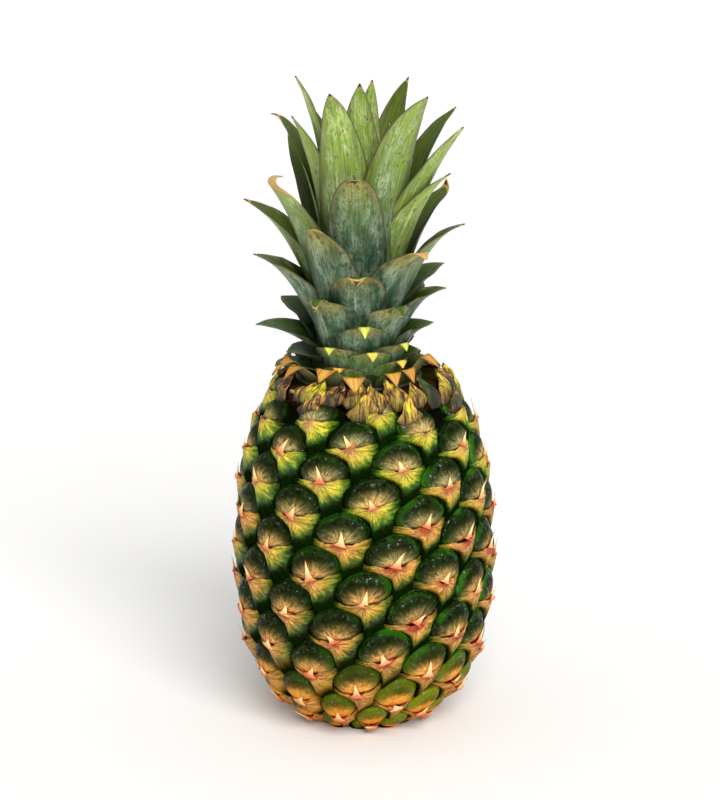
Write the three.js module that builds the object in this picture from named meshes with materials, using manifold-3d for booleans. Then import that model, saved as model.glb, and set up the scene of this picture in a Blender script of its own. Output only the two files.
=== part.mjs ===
// Pineapple: a fruit of fused eyes on a spiral, a collar of dry bracts, a leafy crown and a cut stalk.
// Millimetres, +Z up. The origin is the middle of the flat base, and -Y is the front.
// Turns are in degrees round the axis, 0 at the front and rising towards +X.
import * as THREE from 'three';
import { mergeVertices, toCreasedNormals } from 'three/addons/utils/BufferGeometryUtils.js';
import Module from 'manifold-3d';

const wasm = await Module();
wasm.setup();

// ---- driving dimensions -------------------------------------------------------------------------

const GAP = 0.3;                    // clearance between neighbouring pieces

// fruit: a barrel whose outline is two superellipse quarters that meet at the belly
const BELLY_R = 58.8;
const BELLY_Z = 73.5;
const UPPER = { height: 96, power: 2.64 };
const LOWER = { height: 77.8, power: 2.44 };
const DECK_Z = 157;                 // flat top that the crown stands on
const OUTLINE_STEPS = 240;
const BEYOND = 60;                  // straight length that carries the spiral past both flat ends

// spiral of eyes
const DIVERGENCE = 137.55;          // turn from one eye to the next
const FIRST_TURN = 5;
const MIDDLE_EYE = 69;              // eye number where the climb below is centred
const MIDDLE_CLIMB = 18.8;          // its distance above the belly, along the outline
const EYE_RISE = 1.27;
const EYE_SAG = 0.00096;            // the rise falls off towards the top
const FIRST_EYE = -8;
const LAST_EYE = 134;
const PLAIN_ENDS = 21;              // eyes past each end that stay plain
const FRONT_SPREAD = 8;             // degrees that the eyes open towards the front
const FRONT_SPREAD_RISE = 0.066;    // more of it higher up, per mm of climb
const SIDE_DROP = 1.3;              // mm that one side stands higher at the belly
const SIDE_DROP_RISE = -0.049;

// one eye: reliefs in mm from the outline, places in shares of the half cell
const HALF_CELL_TURN = 10.5;
const HALF_CELL_EYES = 11;
const CORNER_RELIEF = -5.6;
const SEAM_RELIEF = -4.4;
const DOME_SHARE = 0.7;             // where the dome's shoulder stands between middle and corner
const DOME_RELIEF = -1.9;
const DOME_TILT = 1;                // the shoulder is higher above the middle and lower below it
const CREST_RING = [
  { across: 0.4, up: -0.14, relief: 0.5 },
  { across: 0, up: 0.2, relief: 0.4 },
  { across: -0.4, up: -0.14, relief: 0.5 },
  { across: 0, up: -0.4, relief: -0.3 },
];
const SPINE_FOOT = [
  { across: 0.15, up: -0.19, relief: 1.3 },
  { across: 0, up: -0.06, relief: 0.9 },
  { across: -0.15, up: -0.19, relief: 1.3 },
  { across: 0, up: -0.33, relief: 1 },
];
const SPINE_UP = -0.19;             // middle of the spine's foot
const SPINE_LENGTH = 10;
const SPINE_LIFT = 14;              // degrees off the surface
const SPINE_SWAY = 34;              // widest turn to either side
const SPINE_HALF = 1.1;             // half width at mid length
const SPINE_MIDDLE = 0.45;          // share of the length where its middle ring stands
const SPINE_AROUND = [[1, 0], [0, -0.6], [-1, 0], [0, 0.6]];   // that ring: across and outward
const BARE_FOOT = 5;                // height above the base that has no spines
const BARE_SHOULDER = 14;           // and below the deck

// hollow for the stalk in the base, and for the crown's stem in the deck
const STALK_R = 12.5;
const STALK_DEPTH = 5;
const STEM_R = 13;
const STEM_DEPTH = 6;

// crown: a domed stem with leaves on a second spiral, numbered from the lowest
const CROWN_X = -2.5;               // the crown stands a little to one side
const CROWN_LEAN = -0.015;          // and shifts further with height
const CROWN_R = 21;                 // stem where it leaves the deck
const CROWN_HEIGHT = 41;
const STEM_SIDES = 16;
const STEM_STEPS = 4;
const LEAVES = 55;
const FIRST_LEAF_TURN = -24;
const LEAF_DIVERGENCE = 136;
const LEAF_ROOT = { low: 1, rise: 39, power: 1.05 };

// leaf measures as [share of the way up the crown, value]
const LEAF_LENGTH = [[0, 14], [0.1, 15], [0.25, 26], [0.4, 37], [0.5, 47], [0.6, 60], [0.7, 72],
  [0.76, 87], [0.87, 89], [0.9, 102], [0.93, 102], [0.95, 75], [1, 81]];
const FRONT_LENGTH = [[0, 0], [0.2, 0.2], [0.4, 0.6], [0.55, 0.85], [0.65, 0.85], [0.75, 0.3],
  [0.85, 0.1], [1, 0.05]];          // extra share of length of the leaves that face the front
const LEAF_LEAN = [[0, 52], [0.1, 49], [0.25, 42], [0.4, 32], [0.55, 23], [0.65, 20], [0.8, 13],
  [0.93, 7], [1, 0]];
const LEAF_CURL = [[0, 50], [0.25, 60], [0.4, 56], [0.6, 47], [0.8, 31], [1, 11]];
const FRONT_CURL = 0.25;            // extra share of curl of the leaves that face the front
const LEAF_WIDTH = [[0, 26], [0.15, 32], [0.5, 35], [0.75, 31], [1, 20]];
const LEAF_CLASP = [[0, 0.9], [0.25, 0.7], [0.5, 0.55], [1, 0.55]];   // share of the width at the root

// leaves that grow their own way: turn, lean and curl in degrees, length and sideways sway in mm
const OWN_WAY = {
  0: { turn: -20, length: 14, lean: 30, curl: 40 },
  2: { turn: 42, length: 17, lean: 34, curl: 45 },
  3: { length: 21, lean: 60 },
  5: { turn: 12, length: 22, lean: 32, curl: 45 },
  6: { length: 12 },
  7: { length: 13 },
  8: { turn: -24, length: 21, lean: 32, curl: 45 },
  10: { turn: 44, length: 20, lean: 32, curl: 45 },
  11: { length: 15, lean: 56 },
  12: { length: 17, lean: 54 },
  13: { turn: 5, length: 32, lean: 30, curl: 50 },
  14: { length: 34, lean: 36 },
  15: { length: 21, lean: 34 },
  16: { turn: -27, length: 43, lean: 22, curl: 60, width: 42 },
  18: { turn: 32, length: 36, lean: 24, curl: 54, width: 42 },
  19: { length: 30, lean: 58, curl: 42 },
  21: { length: 58, lean: 26 },
  23: { length: 34, lean: 28 },
  24: { turn: -31, length: 66, lean: 14, curl: 45, sway: 4 },
  26: { turn: 35, length: 61, lean: 23 },
  27: { turn: -86, length: 48, lean: 27, curl: 42, width: 40 },
  28: { turn: 116, length: 40, lean: 31, curl: 52 },
  29: { turn: 0, length: 97, lean: 13, curl: 72 },
  31: { length: 60, lean: 22, curl: 46 },
  32: { turn: -58, length: 81, lean: 15, curl: 38 },
  34: { turn: 29, length: 122, lean: 12 },
  35: { turn: -96, length: 66, lean: 22, width: 38 },
  36: { lean: 22 },
  37: { turn: -10, length: 118, lean: 12, curl: 37 },
  38: { turn: -140, length: 84, lean: 17, curl: 26 },
  39: { turn: 62, length: 76, width: 38 },
  40: { length: 92, lean: 4, curl: 26 },
  42: { turn: 12, length: 109, lean: 6, curl: 25, sway: -5 },
  43: { length: 92, lean: 7, curl: 42 },
  44: { turn: 118, length: 95, lean: 17, width: 34 },
  45: { turn: -17, length: 95, lean: 5, curl: 23 },
  47: { turn: 60, lean: 24, curl: 16, width: 34 },
  48: { length: 102, lean: 5, curl: 18 },
  49: { length: 103, lean: 17, curl: 32 },
  50: { length: 102 },
};

// blade of a leaf
const NUDGE = 1e-3;                 // step that finds the slope of a surface
const ROOT_SUNK = 2;                // depth of the leaf's start in the stem
const ROOT_TAIL = 4;                // and of the tail behind it
const BLADE_STATIONS = [0.28, 0.58, 0.83, 1];
const BLADE_ACROSS = [-1, -0.36, 0.36, 1];
const SMALL_LEAVES = 29;            // the lowest, short ones, plainer across
const SMALL_ACROSS = [-1, 0, 1];
const BLADE_THICK = 1.2;
const BLADE_TIP_THICK = 0.8;
const BLADE_TIP_HALF = 0.5;
const WIDENS = 1.5;                 // share of the width gained per length, from the root
const TAPER = { power: 2.3, round: 0.85 };
const CURL_POWER = 3;               // power of t by which the curl sets in
const AXIS_STEPS = 40;
const CHANNEL_R = 14;               // round of the channel across the blade, at the root
const CHANNEL_GROWS = 4;            // mm added to it by the tip
const CHANNEL_OPENS = { from: 45, per: 1.2 };   // mm added per degree that the blade leans past this

// collar: a thin ring on the deck with short dry leaves that rise beside the stem and fold over
const COLLAR = { inner: 23.4, outer: 28, thick: 1.5, sides: 24 };
const BRACTS = 15;
const BRACT_START = { r: 25.5, z: 1.2 };   // middle of its root, z above the deck
const BRACT_SWAY = 0.6;             // share of a bract's own sector that its turn may shift by
const BRACT_LENGTH = { least: 12, spread: 6 };
const BRACT_LEAN = 45;              // degrees from upright at the root
const BRACT_FOLD = { least: 75, spread: 50, power: 2 };   // degrees turned down by the tip
const BRACT_HALF = { least: 6, spread: 3 };
const BRACT_TAPER = 2;
const BRACT_THICK = 1;
const BRACT_ROUND = 22;             // round of the blade across
const BRACT_STATIONS = [0, 0.36, 0.62, 0.82, 1];
const BRACT_ACROSS = [-1, 0, 1];

const DEG = Math.PI / 180;

// ---- small helpers ------------------------------------------------------------------------------

/** Repeatable draw between 0 and 1 for a piece's number and a purpose. */
function draw(number, purpose) {
  const wave = Math.sin(number * 12.9898 + purpose * 78.233) * 43758.5453;
  return wave - Math.floor(wave);
}

/** Closed three.js geometry to a solid that can be joined and cut. */
function solid(geometry) {
  const bare = geometry.clone();
  bare.deleteAttribute('normal');
  bare.deleteAttribute('uv');
  const merged = mergeVertices(bare, 1e-4);
  return new wasm.Manifold(new wasm.Mesh({
    numProp: 3,
    vertProperties: new Float32Array(merged.attributes.position.array),
    triVerts: new Uint32Array(merged.index.array),
  }));
}

/** Points and triangles to a solid. */
function meshSolid(points, triangles) {
  return new wasm.Manifold(new wasm.Mesh({
    numProp: 3,
    vertProperties: new Float32Array(points.flatMap((point) => point.toArray())),
    triVerts: new Uint32Array(triangles.flat()),
  }));
}

/** Solid turned about the axis from a profile { x: radius, y: height } that rises along it. */
function turned(profile, sides) {
  const geometry = new THREE.LatheGeometry(profile, sides);
  geometry.rotateX(Math.PI / 2);
  return solid(geometry);
}

/** The outer shell of a solid: loose scraps are dropped and sealed hollows are filled. */
function outerShell(body) {
  return body.decompose().reduce((best, part) => (part.volume() > best.volume() ? part : best));
}

/** Solid back to a three.js geometry. */
function geometryOf(body) {
  const mesh = body.getMesh();
  const geometry = new THREE.BufferGeometry();
  geometry.setAttribute('position', new THREE.BufferAttribute(mesh.vertProperties, 3));
  geometry.setIndex(new THREE.BufferAttribute(mesh.triVerts, 1));
  return toCreasedNormals(geometry, 40 * DEG);
}

/** Upright round bar between two heights. */
function bar(radius, low, high, sides = 24) {
  const geometry = new THREE.CylinderGeometry(radius, radius, high - low, sides);
  geometry.rotateX(Math.PI / 2);
  geometry.translate(0, 0, (low + high) / 2);
  return solid(geometry);
}

/** Block wider than the whole object, between two heights. */
function slab(low, high) {
  const geometry = new THREE.BoxGeometry(4 * BELLY_R, 4 * BELLY_R, high - low);
  geometry.translate(0, 0, (low + high) / 2);
  return solid(geometry);
}

/** Value of a curve of [share, value] points at a share. */
function curve(points, share) {
  const n = Math.max(1, points.findIndex(([at]) => at >= share));
  const [[from, low], [to, high]] = [points[n - 1], points[n]];
  return low + (high - low) * (share - from) / (to - from);
}

/** Turn between -180 and 180 degrees. */
function wrap(turn) {
  return turn - 360 * Math.round(turn / 360);
}

// ---- outline of the fruit -----------------------------------------------------------------------

/** Radius of the barrel at a height. */
function barrelRadius(z) {
  const half = z > BELLY_Z ? UPPER : LOWER;
  const share = Math.abs(z - BELLY_Z) / half.height;
  return BELLY_R * (1 - share ** half.power) ** (1 / half.power);
}

/** Outline points { r, z, s } from below the base to above the deck, s along it from the belly. */
function outline() {
  const points = [{ r: barrelRadius(0), z: -BEYOND }];
  for (let step = 0; step <= OUTLINE_STEPS; step += 1) {
    const z = DECK_Z * step / OUTLINE_STEPS;
    points.push({ r: barrelRadius(z), z });
  }
  points.push({ r: barrelRadius(DECK_Z), z: DECK_Z + BEYOND });
  let s = 0;
  points.forEach((point, n) => {
    if (n > 0) {
      s += Math.hypot(point.r - points[n - 1].r, point.z - points[n - 1].z);
    }
    point.s = s;
  });
  const belly = points.find((point) => point.z >= BELLY_Z).s;
  points.forEach((point) => { point.s -= belly; });
  return points;
}

const OUTLINE = outline();

/** Radius, height and slope of the outline at a distance s along it. */
function along(s) {
  let n = OUTLINE.findIndex((point) => point.s > s);
  n = n < 1 ? OUTLINE.length - 1 : n;
  const [low, high] = [OUTLINE[n - 1], OUTLINE[n]];
  const length = high.s - low.s;
  const share = (s - low.s) / length;
  return {
    r: low.r + (high.r - low.r) * share,
    z: low.z + (high.z - low.z) * share,
    dr: (high.r - low.r) / length,
    dz: (high.z - low.z) / length,
  };
}

// ---- spiral of eyes -----------------------------------------------------------------------------

/** Place on the fruit of a turn and an eye number, whole or not: point, and unit vectors
 *  across (towards rising turns), up (along the outline) and out (square to the surface). */
function place(turn, number) {
  const n = number - MIDDLE_EYE;
  const climb = MIDDLE_CLIMB + EYE_RISE * n - EYE_SAG * n * n;
  const side = Math.sin(turn * DEG);
  const opened = turn + (FRONT_SPREAD + FRONT_SPREAD_RISE * climb) * side;
  const { r, z, dr, dz } = along(climb + (SIDE_DROP + SIDE_DROP_RISE * climb) * side);
  const [sin, cos] = [Math.sin(opened * DEG), Math.cos(opened * DEG)];
  return {
    point: new THREE.Vector3(r * sin, -r * cos, z),
    across: new THREE.Vector3(cos, sin, 0),
    up: new THREE.Vector3(dr * sin, -dr * cos, dz),
    out: new THREE.Vector3(dz * sin, -dz * cos, -dr),
  };
}

/** Point of the fruit's skin, raised by a relief. */
function skin(turn, number, relief) {
  const { point, out } = place(turn, number);
  return point.addScaledVector(out, relief);
}

/** Turn of a whole eye number before the fruit opens towards its front. */
function turnOf(number) {
  return wrap(FIRST_TURN - DIVERGENCE * number);
}

/** Lattice triangles [a, b, c] of eye numbers, anticlockwise from outside. Every four neighbours
 *  n, n+8, n+13 and n+21 are split along their shorter diagonal. */
function latticeTriangles() {
  const triangles = [];
  const last = LAST_EYE + PLAIN_ENDS;
  const centre = (number) => place(turnOf(number), number).point;
  for (let n = FIRST_EYE - PLAIN_ENDS; n + 21 <= last; n += 1) {
    if (centre(n).distanceTo(centre(n + 21)) < centre(n + 8).distanceTo(centre(n + 13))) {
      triangles.push([n, n + 13, n + 21], [n, n + 21, n + 8]);
    } else {
      triangles.push([n, n + 13, n + 8], [n + 13, n + 21, n + 8]);
    }
  }
  return triangles;
}

/** Ring of { id, across, up } in order round a centre at a height on the eye's middle line. */
function sorted(ring, centreUp) {
  return [...ring]
    .map(({ id, across, up }) => ({ id, angle: Math.atan2(up - centreUp, across) }))
    .sort((a, b) => a.angle - b.angle);
}

/** Stitches two rings of { id, angle } round one centre, outer to inner, into triangles. */
function stitch(outer, inner) {
  const triangles = [];
  let start = 0;
  inner.forEach((point, n) => {
    start = Math.abs(point.angle - outer[0].angle) < Math.abs(inner[start].angle - outer[0].angle)
      ? n : start;
  });
  let [o, i] = [0, 0];
  const outerAt = (n) => outer[n % outer.length];
  const innerAt = (n) => inner[(start + n) % inner.length];
  const outerAngle = (n) => outerAt(n).angle + 2 * Math.PI * Math.floor(n / outer.length);
  const innerAngle = (n) => innerAt(n).angle
    + 2 * Math.PI * Math.floor((start + n) / inner.length);
  while (o < outer.length || i < inner.length) {
    const outerNext = o < outer.length
      && (i >= inner.length || outerAngle(o + 1) < innerAngle(i + 1));
    if (outerNext) {
      triangles.push([outerAt(o).id, outerAt(o + 1).id, innerAt(i).id]);
      o += 1;
    } else {
      triangles.push([outerAt(o).id, innerAt(i + 1).id, innerAt(i).id]);
      i += 1;
    }
  }
  return triangles;
}

/** The fruit's skin as one closed mesh: grooves on the lattice, and in each cell a dome that rises
 *  to a bract ridge below its middle, with a spine drawn up out of the ridge. */
function fruitSkin() {
  const points = [];
  const triangles = [];
  const known = new Map();

  const add = (vector) => points.push(vector) - 1;
  const shared = (key, make) => {
    if (!known.has(key)) {
      known.set(key, add(make()));
    }
    return known.get(key);
  };

  // seam points of every triangle: its middle and the middles of its three sides
  const rings = new Map();
  latticeTriangles().forEach((corners) => {
    const [first] = corners;
    const turns = corners.map((n) => turnOf(first) + wrap(turnOf(n) - turnOf(first)));
    const mean = (values) => values.reduce((sum, value) => sum + value, 0) / values.length;
    const spot = (pick, relief) => {
      const turn = mean(pick.map((n) => turns[n]));
      const number = mean(pick.map((n) => corners[n]));
      const key = pick.map((n) => corners[n]).sort((a, b) => a - b).join(' ');
      return { turn, number, id: shared(key, () => skin(turn, number, relief)) };
    };
    const middle = spot([0, 1, 2], CORNER_RELIEF);
    const sides = [spot([0, 1], SEAM_RELIEF), spot([1, 2], SEAM_RELIEF), spot([2, 0], SEAM_RELIEF)];
    corners.forEach((number, n) => {
      const before = sides[(n + 2) % 3];
      const after = sides[n];
      if (number < FIRST_EYE || number > LAST_EYE) {
        const centre = shared(`eye ${number}`, () => skin(turnOf(number), number, SEAM_RELIEF));
        triangles.push([centre, after.id, middle.id], [centre, middle.id, before.id]);
        return;
      }
      const ring = rings.get(number) ?? new Map();
      [before, middle, after].forEach((seam) => {
        const across = wrap(seam.turn - turnOf(number)) / HALF_CELL_TURN;
        const up = (seam.number - number) / HALF_CELL_EYES;
        ring.set(seam.id, { id: seam.id, across, up, corner: seam === middle });
      });
      rings.set(number, ring);
    });
  });

  // dome, ridge and spine of each eye
  const ringOf = (number, shape) => shape.map(({ across, up, relief }) => ({
    across,
    up,
    id: add(skin(turnOf(number) + across * HALF_CELL_TURN, number + up * HALF_CELL_EYES, relief)),
  }));
  rings.forEach((seams, number) => {
    const shoulder = [...seams.values()].filter(({ corner }) => corner)
      .map(({ across, up }) => ({
        across: across * DOME_SHARE,
        up: up * DOME_SHARE,
        relief: DOME_RELIEF + DOME_TILT * up,
      }));
    const dome = ringOf(number, shoulder);
    const crest = ringOf(number, CREST_RING);
    const foot = ringOf(number, SPINE_FOOT);
    triangles.push(...stitch(sorted(seams.values(), 0), sorted(dome, 0)));
    triangles.push(...stitch(sorted(dome, SPINE_UP), sorted(crest, SPINE_UP)));
    triangles.push(...stitch(sorted(crest, SPINE_UP), sorted(foot, SPINE_UP)));
    const { z } = place(turnOf(number), number).point;
    if (z > BARE_FOOT && z < DECK_Z - BARE_SHOULDER) {
      triangles.push(...spine(number, foot, add));
    } else {
      triangles.push([foot[0].id, foot[1].id, foot[2].id], [foot[0].id, foot[2].id, foot[3].id]);
    }
  });

  // both ends close to the axis
  closeEnds(points, triangles);
  const geometry = new THREE.BufferGeometry();
  const flat = new Float32Array(points.flatMap((point) => point.toArray()));
  geometry.setAttribute('position', new THREE.BufferAttribute(flat, 3));
  geometry.setIndex(triangles.flat());
  return geometry;
}

/** Triangles of a spine on its foot ring: one middle ring and a tip, swaying by a repeatable draw. */
function spine(number, foot, add) {
  const { across, up, out } = place(turnOf(number), number);
  const start = skin(turnOf(number), number + SPINE_UP * HALF_CELL_EYES, 1);
  const lift = SPINE_LIFT * (0.7 + 0.6 * draw(number, 1)) * DEG;
  const sway = SPINE_SWAY * (2 * draw(number, 2) - 1) * DEG;
  const length = SPINE_LENGTH * (0.8 + 0.35 * draw(number, 3));
  const way = out.clone().multiplyScalar(Math.sin(lift))
    .addScaledVector(up, Math.cos(lift) * Math.cos(sway))
    .addScaledVector(across, Math.cos(lift) * Math.sin(sway));
  const beside = across.clone().addScaledVector(way, -across.dot(way)).normalize();
  const face = new THREE.Vector3().crossVectors(beside, way);
  const middle = start.clone().addScaledVector(way, SPINE_MIDDLE * length);
  const tip = add(start.clone().addScaledVector(way, length));
  const ring = SPINE_AROUND.map(([side, front]) => add(middle.clone()
    .addScaledVector(beside, side * SPINE_HALF)
    .addScaledVector(face, front * SPINE_HALF)));
  const triangles = [];
  foot.forEach((corner, n) => {
    const next = (n + 1) % foot.length;
    triangles.push([corner.id, foot[next].id, ring[next]], [corner.id, ring[next], ring[n]]);
    triangles.push([ring[n], ring[next], tip]);
  });
  return triangles;
}

/** Adds a fan to the axis over each open edge loop of the mesh. */
function closeEnds(points, triangles) {
  const open = new Map();
  triangles.forEach((corners) => corners.forEach((from, n) => {
    const to = corners[(n + 1) % 3];
    if (!open.delete(`${to} ${from}`)) {
      open.set(`${from} ${to}`, [from, to]);
    }
  }));
  const base = points.push(new THREE.Vector3(0, 0, -BEYOND)) - 1;
  const top = points.push(new THREE.Vector3(0, 0, DECK_Z + BEYOND)) - 1;
  open.forEach(([from, to]) => {
    triangles.push([to, from, points[from].z < BELLY_Z ? base : top]);
  });
}

/** The fruit: its skin cut flat at base and deck, with plain holes for the stalk and the stem. */
function fruit() {
  return solid(fruitSkin())
    .subtract(slab(-2 * BEYOND, 0))
    .subtract(slab(DECK_Z, DECK_Z + 2 * BEYOND))
    .subtract(bar(STALK_R + GAP, -1, STALK_DEPTH + GAP))
    .subtract(bar(STEM_R + GAP, DECK_Z - STEM_DEPTH - GAP, DECK_Z + 1)
      .translate([CROWN_X, 0, 0]));
}

// ---- crown --------------------------------------------------------------------------------------

/** Radius of the crown's stem at a height above the deck. */
function stemRadius(height) {
  return CROWN_R * Math.sqrt(Math.max(1 - (height / CROWN_HEIGHT) ** 2, 0.01));
}

/** Measures of a leaf by its number. */
function leafMeasures(number) {
  const share = number / (LEAVES - 1);
  const turn = wrap(FIRST_LEAF_TURN - LEAF_DIVERGENCE * number);
  const front = Math.max(Math.cos(turn * DEG), 0);
  return {
    turn,
    root: LEAF_ROOT.low + LEAF_ROOT.rise * share ** LEAF_ROOT.power,
    length: curve(LEAF_LENGTH, share) * (1 + front * curve(FRONT_LENGTH, share)),
    lean: curve(LEAF_LEAN, share),
    curl: curve(LEAF_CURL, share) * (1 + FRONT_CURL * front * (1 - share)),
    width: curve(LEAF_WIDTH, share),
    clasp: curve(LEAF_CLASP, share),
    sway: 0,
    power: CURL_POWER,
    ...OWN_WAY[number],
  };
}

/** Place { r, z, angle } on a blade's axis, t along it from its root, negative in the stem. The axis
 *  leaves the root at the lean from upright and curls outward by a power of t. */
function axisPoint(blade, rootR, rootZ, t) {
  const angleAt = (at) => (blade.lean + blade.curl * Math.max(at, 0) ** blade.power) * DEG;
  const stride = blade.length * t / AXIS_STEPS;
  const place = { r: rootR, z: rootZ, angle: angleAt(t) };
  for (let step = 0; step < AXIS_STEPS; step += 1) {
    const angle = angleAt(t * (step + 0.5) / AXIS_STEPS);
    place.r += stride * Math.sin(angle);
    place.z += stride * Math.cos(angle);
  }
  return place;
}

/** Point beside a blade's axis: an arc of a round across it, then a sway sideways. */
function acrossBlade(blade, axis, round, offset, sway) {
  const inward = round * (1 - Math.cos(offset / round));
  const side = round * Math.sin(offset / round) + sway;
  const r = axis.r - Math.cos(axis.angle) * inward;
  const z = axis.z + Math.sin(axis.angle) * inward;
  const [sin, cos] = [Math.sin(blade.turn * DEG), Math.cos(blade.turn * DEG)];
  return new THREE.Vector3(
    CROWN_X + r * sin + side * cos + CROWN_LEAN * (z - DECK_Z),
    -r * cos + side * sin,
    z,
  );
}

/** Point on a leaf's middle surface: t along it from the root, x across it from -1 to 1. */
function leafPoint(leaf, t, x) {
  const grown = Math.max(t, 0);
  const axis = axisPoint(leaf, stemRadius(leaf.root) - ROOT_SUNK, DECK_Z + leaf.root, t);
  const widened = Math.min(1, leaf.clasp + WIDENS * grown);
  const taper = widened * Math.max(1 - grown ** TAPER.power, 0) ** TAPER.round;
  const half = Math.max(leaf.width / 2 * taper, BLADE_TIP_HALF);
  const opened = Math.max(axis.angle / DEG - CHANNEL_OPENS.from, 0) * CHANNEL_OPENS.per;
  const round = CHANNEL_R + CHANNEL_GROWS * grown + opened;
  return acrossBlade(leaf, axis, round, x * half, leaf.sway * grown ** 2);
}

/** Closed blade about a middle surface pointAt(t, x): rings of an outer and an inner face. */
function blade(pointAt, stations, across, thickAt) {
  const points = [];
  stations.forEach((t) => {
    const faces = [1, -1].map((face) => across.map((x) => {
      const way = pointAt(t + NUDGE, x).sub(pointAt(t - NUDGE, x));
      const over = pointAt(t, x + NUDGE).sub(pointAt(t, x - NUDGE));
      const normal = over.cross(way).normalize();
      return pointAt(t, x).addScaledVector(normal, face * thickAt(t) / 2);
    }));
    points.push(...faces[0], ...faces[1].reverse());
  });

  const around = 2 * across.length;
  const triangles = [];
  for (let low = 0; low < points.length - around; low += around) {
    for (let n = 0; n < around; n += 1) {
      const next = (n + 1) % around;
      triangles.push([low + n, low + next, low + around + next]);
      triangles.push([low + n, low + around + next, low + around + n]);
    }
  }

  // both ends, as strips between the two faces
  const end = points.length - around;
  const facing = (n) => around - 1 - n;
  for (let n = 1; n < across.length; n += 1) {
    triangles.push([n, n - 1, facing(n)], [n - 1, facing(n - 1), facing(n)]);
    triangles.push([end + n - 1, end + n, end + facing(n)]);
    triangles.push([end + n - 1, end + facing(n), end + facing(n - 1)]);
  }
  return meshSolid(points, triangles);
}

/** One leaf of the crown, with a tail that stays in the stem. */
function leaf(number) {
  const measures = leafMeasures(number);
  const thickAt = (t) => BLADE_THICK + (BLADE_TIP_THICK - BLADE_THICK) * Math.max(t, 0);
  const stations = [-ROOT_TAIL / measures.length, ...BLADE_STATIONS];
  const across = number < SMALL_LEAVES ? SMALL_ACROSS : BLADE_ACROSS;
  return blade((t, x) => leafPoint(measures, t, x), stations, across, thickAt);
}

/** The crown: domed stem and all its leaves as one body, and the plug that stands in the deck. */
function crown() {
  const low = DECK_Z + GAP;
  const dome = [new THREE.Vector2(0, low - ROOT_TAIL), new THREE.Vector2(CROWN_R, low - ROOT_TAIL)];
  for (let step = 0; step < STEM_STEPS; step += 1) {
    const height = CROWN_HEIGHT * step / STEM_STEPS;
    dome.push(new THREE.Vector2(stemRadius(height), DECK_Z + height));
  }
  dome.push(new THREE.Vector2(0, DECK_Z + CROWN_HEIGHT));
  const stem = turned(dome, STEM_SIDES).translate([CROWN_X, 0, 0]);
  const leaves = Array.from({ length: LEAVES }, (_, number) => leaf(number));
  const above = wasm.Manifold.union([stem, ...leaves]).subtract(slab(0, low));
  const plug = bar(STEM_R, DECK_Z - STEM_DEPTH, low + 1).translate([CROWN_X, 0, 0]);
  return outerShell(above.add(plug));
}

// ---- collar -------------------------------------------------------------------------------------

/** Point on a bract's middle surface: t along it from the ring, x across it from -1 to 1. */
function bractPoint(number, t, x) {
  const turn = (number + BRACT_SWAY * (draw(number, 4) - 0.5)) * 360 / BRACTS;
  const bract = {
    turn,
    length: BRACT_LENGTH.least + BRACT_LENGTH.spread * draw(number, 5),
    lean: BRACT_LEAN,
    curl: BRACT_FOLD.least + BRACT_FOLD.spread * draw(number, 6),
    power: BRACT_FOLD.power,
  };
  const axis = axisPoint(bract, BRACT_START.r, DECK_Z + BRACT_START.z, t);
  const root = BRACT_HALF.least + BRACT_HALF.spread * draw(number, 15);
  const half = Math.max(root * (1 - Math.max(t, 0) ** BRACT_TAPER), BLADE_TIP_HALF);
  return acrossBlade(bract, axis, BRACT_ROUND, x * half, 0);
}

/** The collar: a flat ring and its bracts as one body. */
function collar() {
  const low = DECK_Z + GAP;
  const ring = bar(COLLAR.outer, low, low + COLLAR.thick, COLLAR.sides)
    .subtract(bar(COLLAR.inner, low - 1, low + COLLAR.thick + 1, COLLAR.sides))
    .translate([CROWN_X, 0, 0]);
  const bracts = Array.from({ length: BRACTS }, (_, number) => blade(
    (t, x) => bractPoint(number, t, x),
    BRACT_STATIONS,
    BRACT_ACROSS,
    () => BRACT_THICK,
  ));
  return outerShell(wasm.Manifold.union([ring, ...bracts]));
}

// ---- the object ---------------------------------------------------------------------------------

/** Named mesh of a solid with its finish. */
function piece(name, body, color, roughness) {
  const finish = new THREE.MeshStandardMaterial({ color, roughness, metalness: 0 });
  const mesh = new THREE.Mesh(geometryOf(body), finish);
  mesh.name = name;
  return mesh;
}

const pineapple = new THREE.Group();
pineapple.add(piece('fruit', fruit(), '#7c6a2c', 0.5));
pineapple.add(piece('crown', crown(), '#5f7f55', 0.45));
pineapple.add(piece('collar', collar(), '#b98a3c', 0.7));
pineapple.add(piece('stalk', bar(STALK_R, 0, STALK_DEPTH), '#a98a5c', 0.9));

export default pineapple;
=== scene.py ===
"""Pineapple: rind of fused eyes, their bracts and spines, leafy crown, dry collar and cut stalk.

Sizes are in millimetres and degrees in the classes below, and become metres when a mesh is made.
Turns run round the axis, 0 at the front (-Y) and rising towards +X.
"""
import logging
import math
from dataclasses import dataclass, field
from enum import Enum
from functools import cached_property, partial
from typing import NamedTuple

import bpy
import numpy as np
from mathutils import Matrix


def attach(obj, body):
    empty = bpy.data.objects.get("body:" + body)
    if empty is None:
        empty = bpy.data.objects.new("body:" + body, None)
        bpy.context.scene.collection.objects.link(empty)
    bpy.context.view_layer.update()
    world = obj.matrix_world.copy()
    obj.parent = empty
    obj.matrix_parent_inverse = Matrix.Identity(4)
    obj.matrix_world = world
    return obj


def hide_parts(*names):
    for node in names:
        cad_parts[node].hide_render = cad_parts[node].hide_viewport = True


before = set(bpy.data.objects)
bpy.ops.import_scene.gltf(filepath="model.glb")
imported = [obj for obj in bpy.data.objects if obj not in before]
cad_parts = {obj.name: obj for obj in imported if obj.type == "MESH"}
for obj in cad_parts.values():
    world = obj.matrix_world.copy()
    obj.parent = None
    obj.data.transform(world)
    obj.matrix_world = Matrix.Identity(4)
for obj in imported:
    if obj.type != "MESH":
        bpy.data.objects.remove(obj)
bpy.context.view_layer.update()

LOG = logging.getLogger("pineapple")
MM = 0.001
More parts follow.
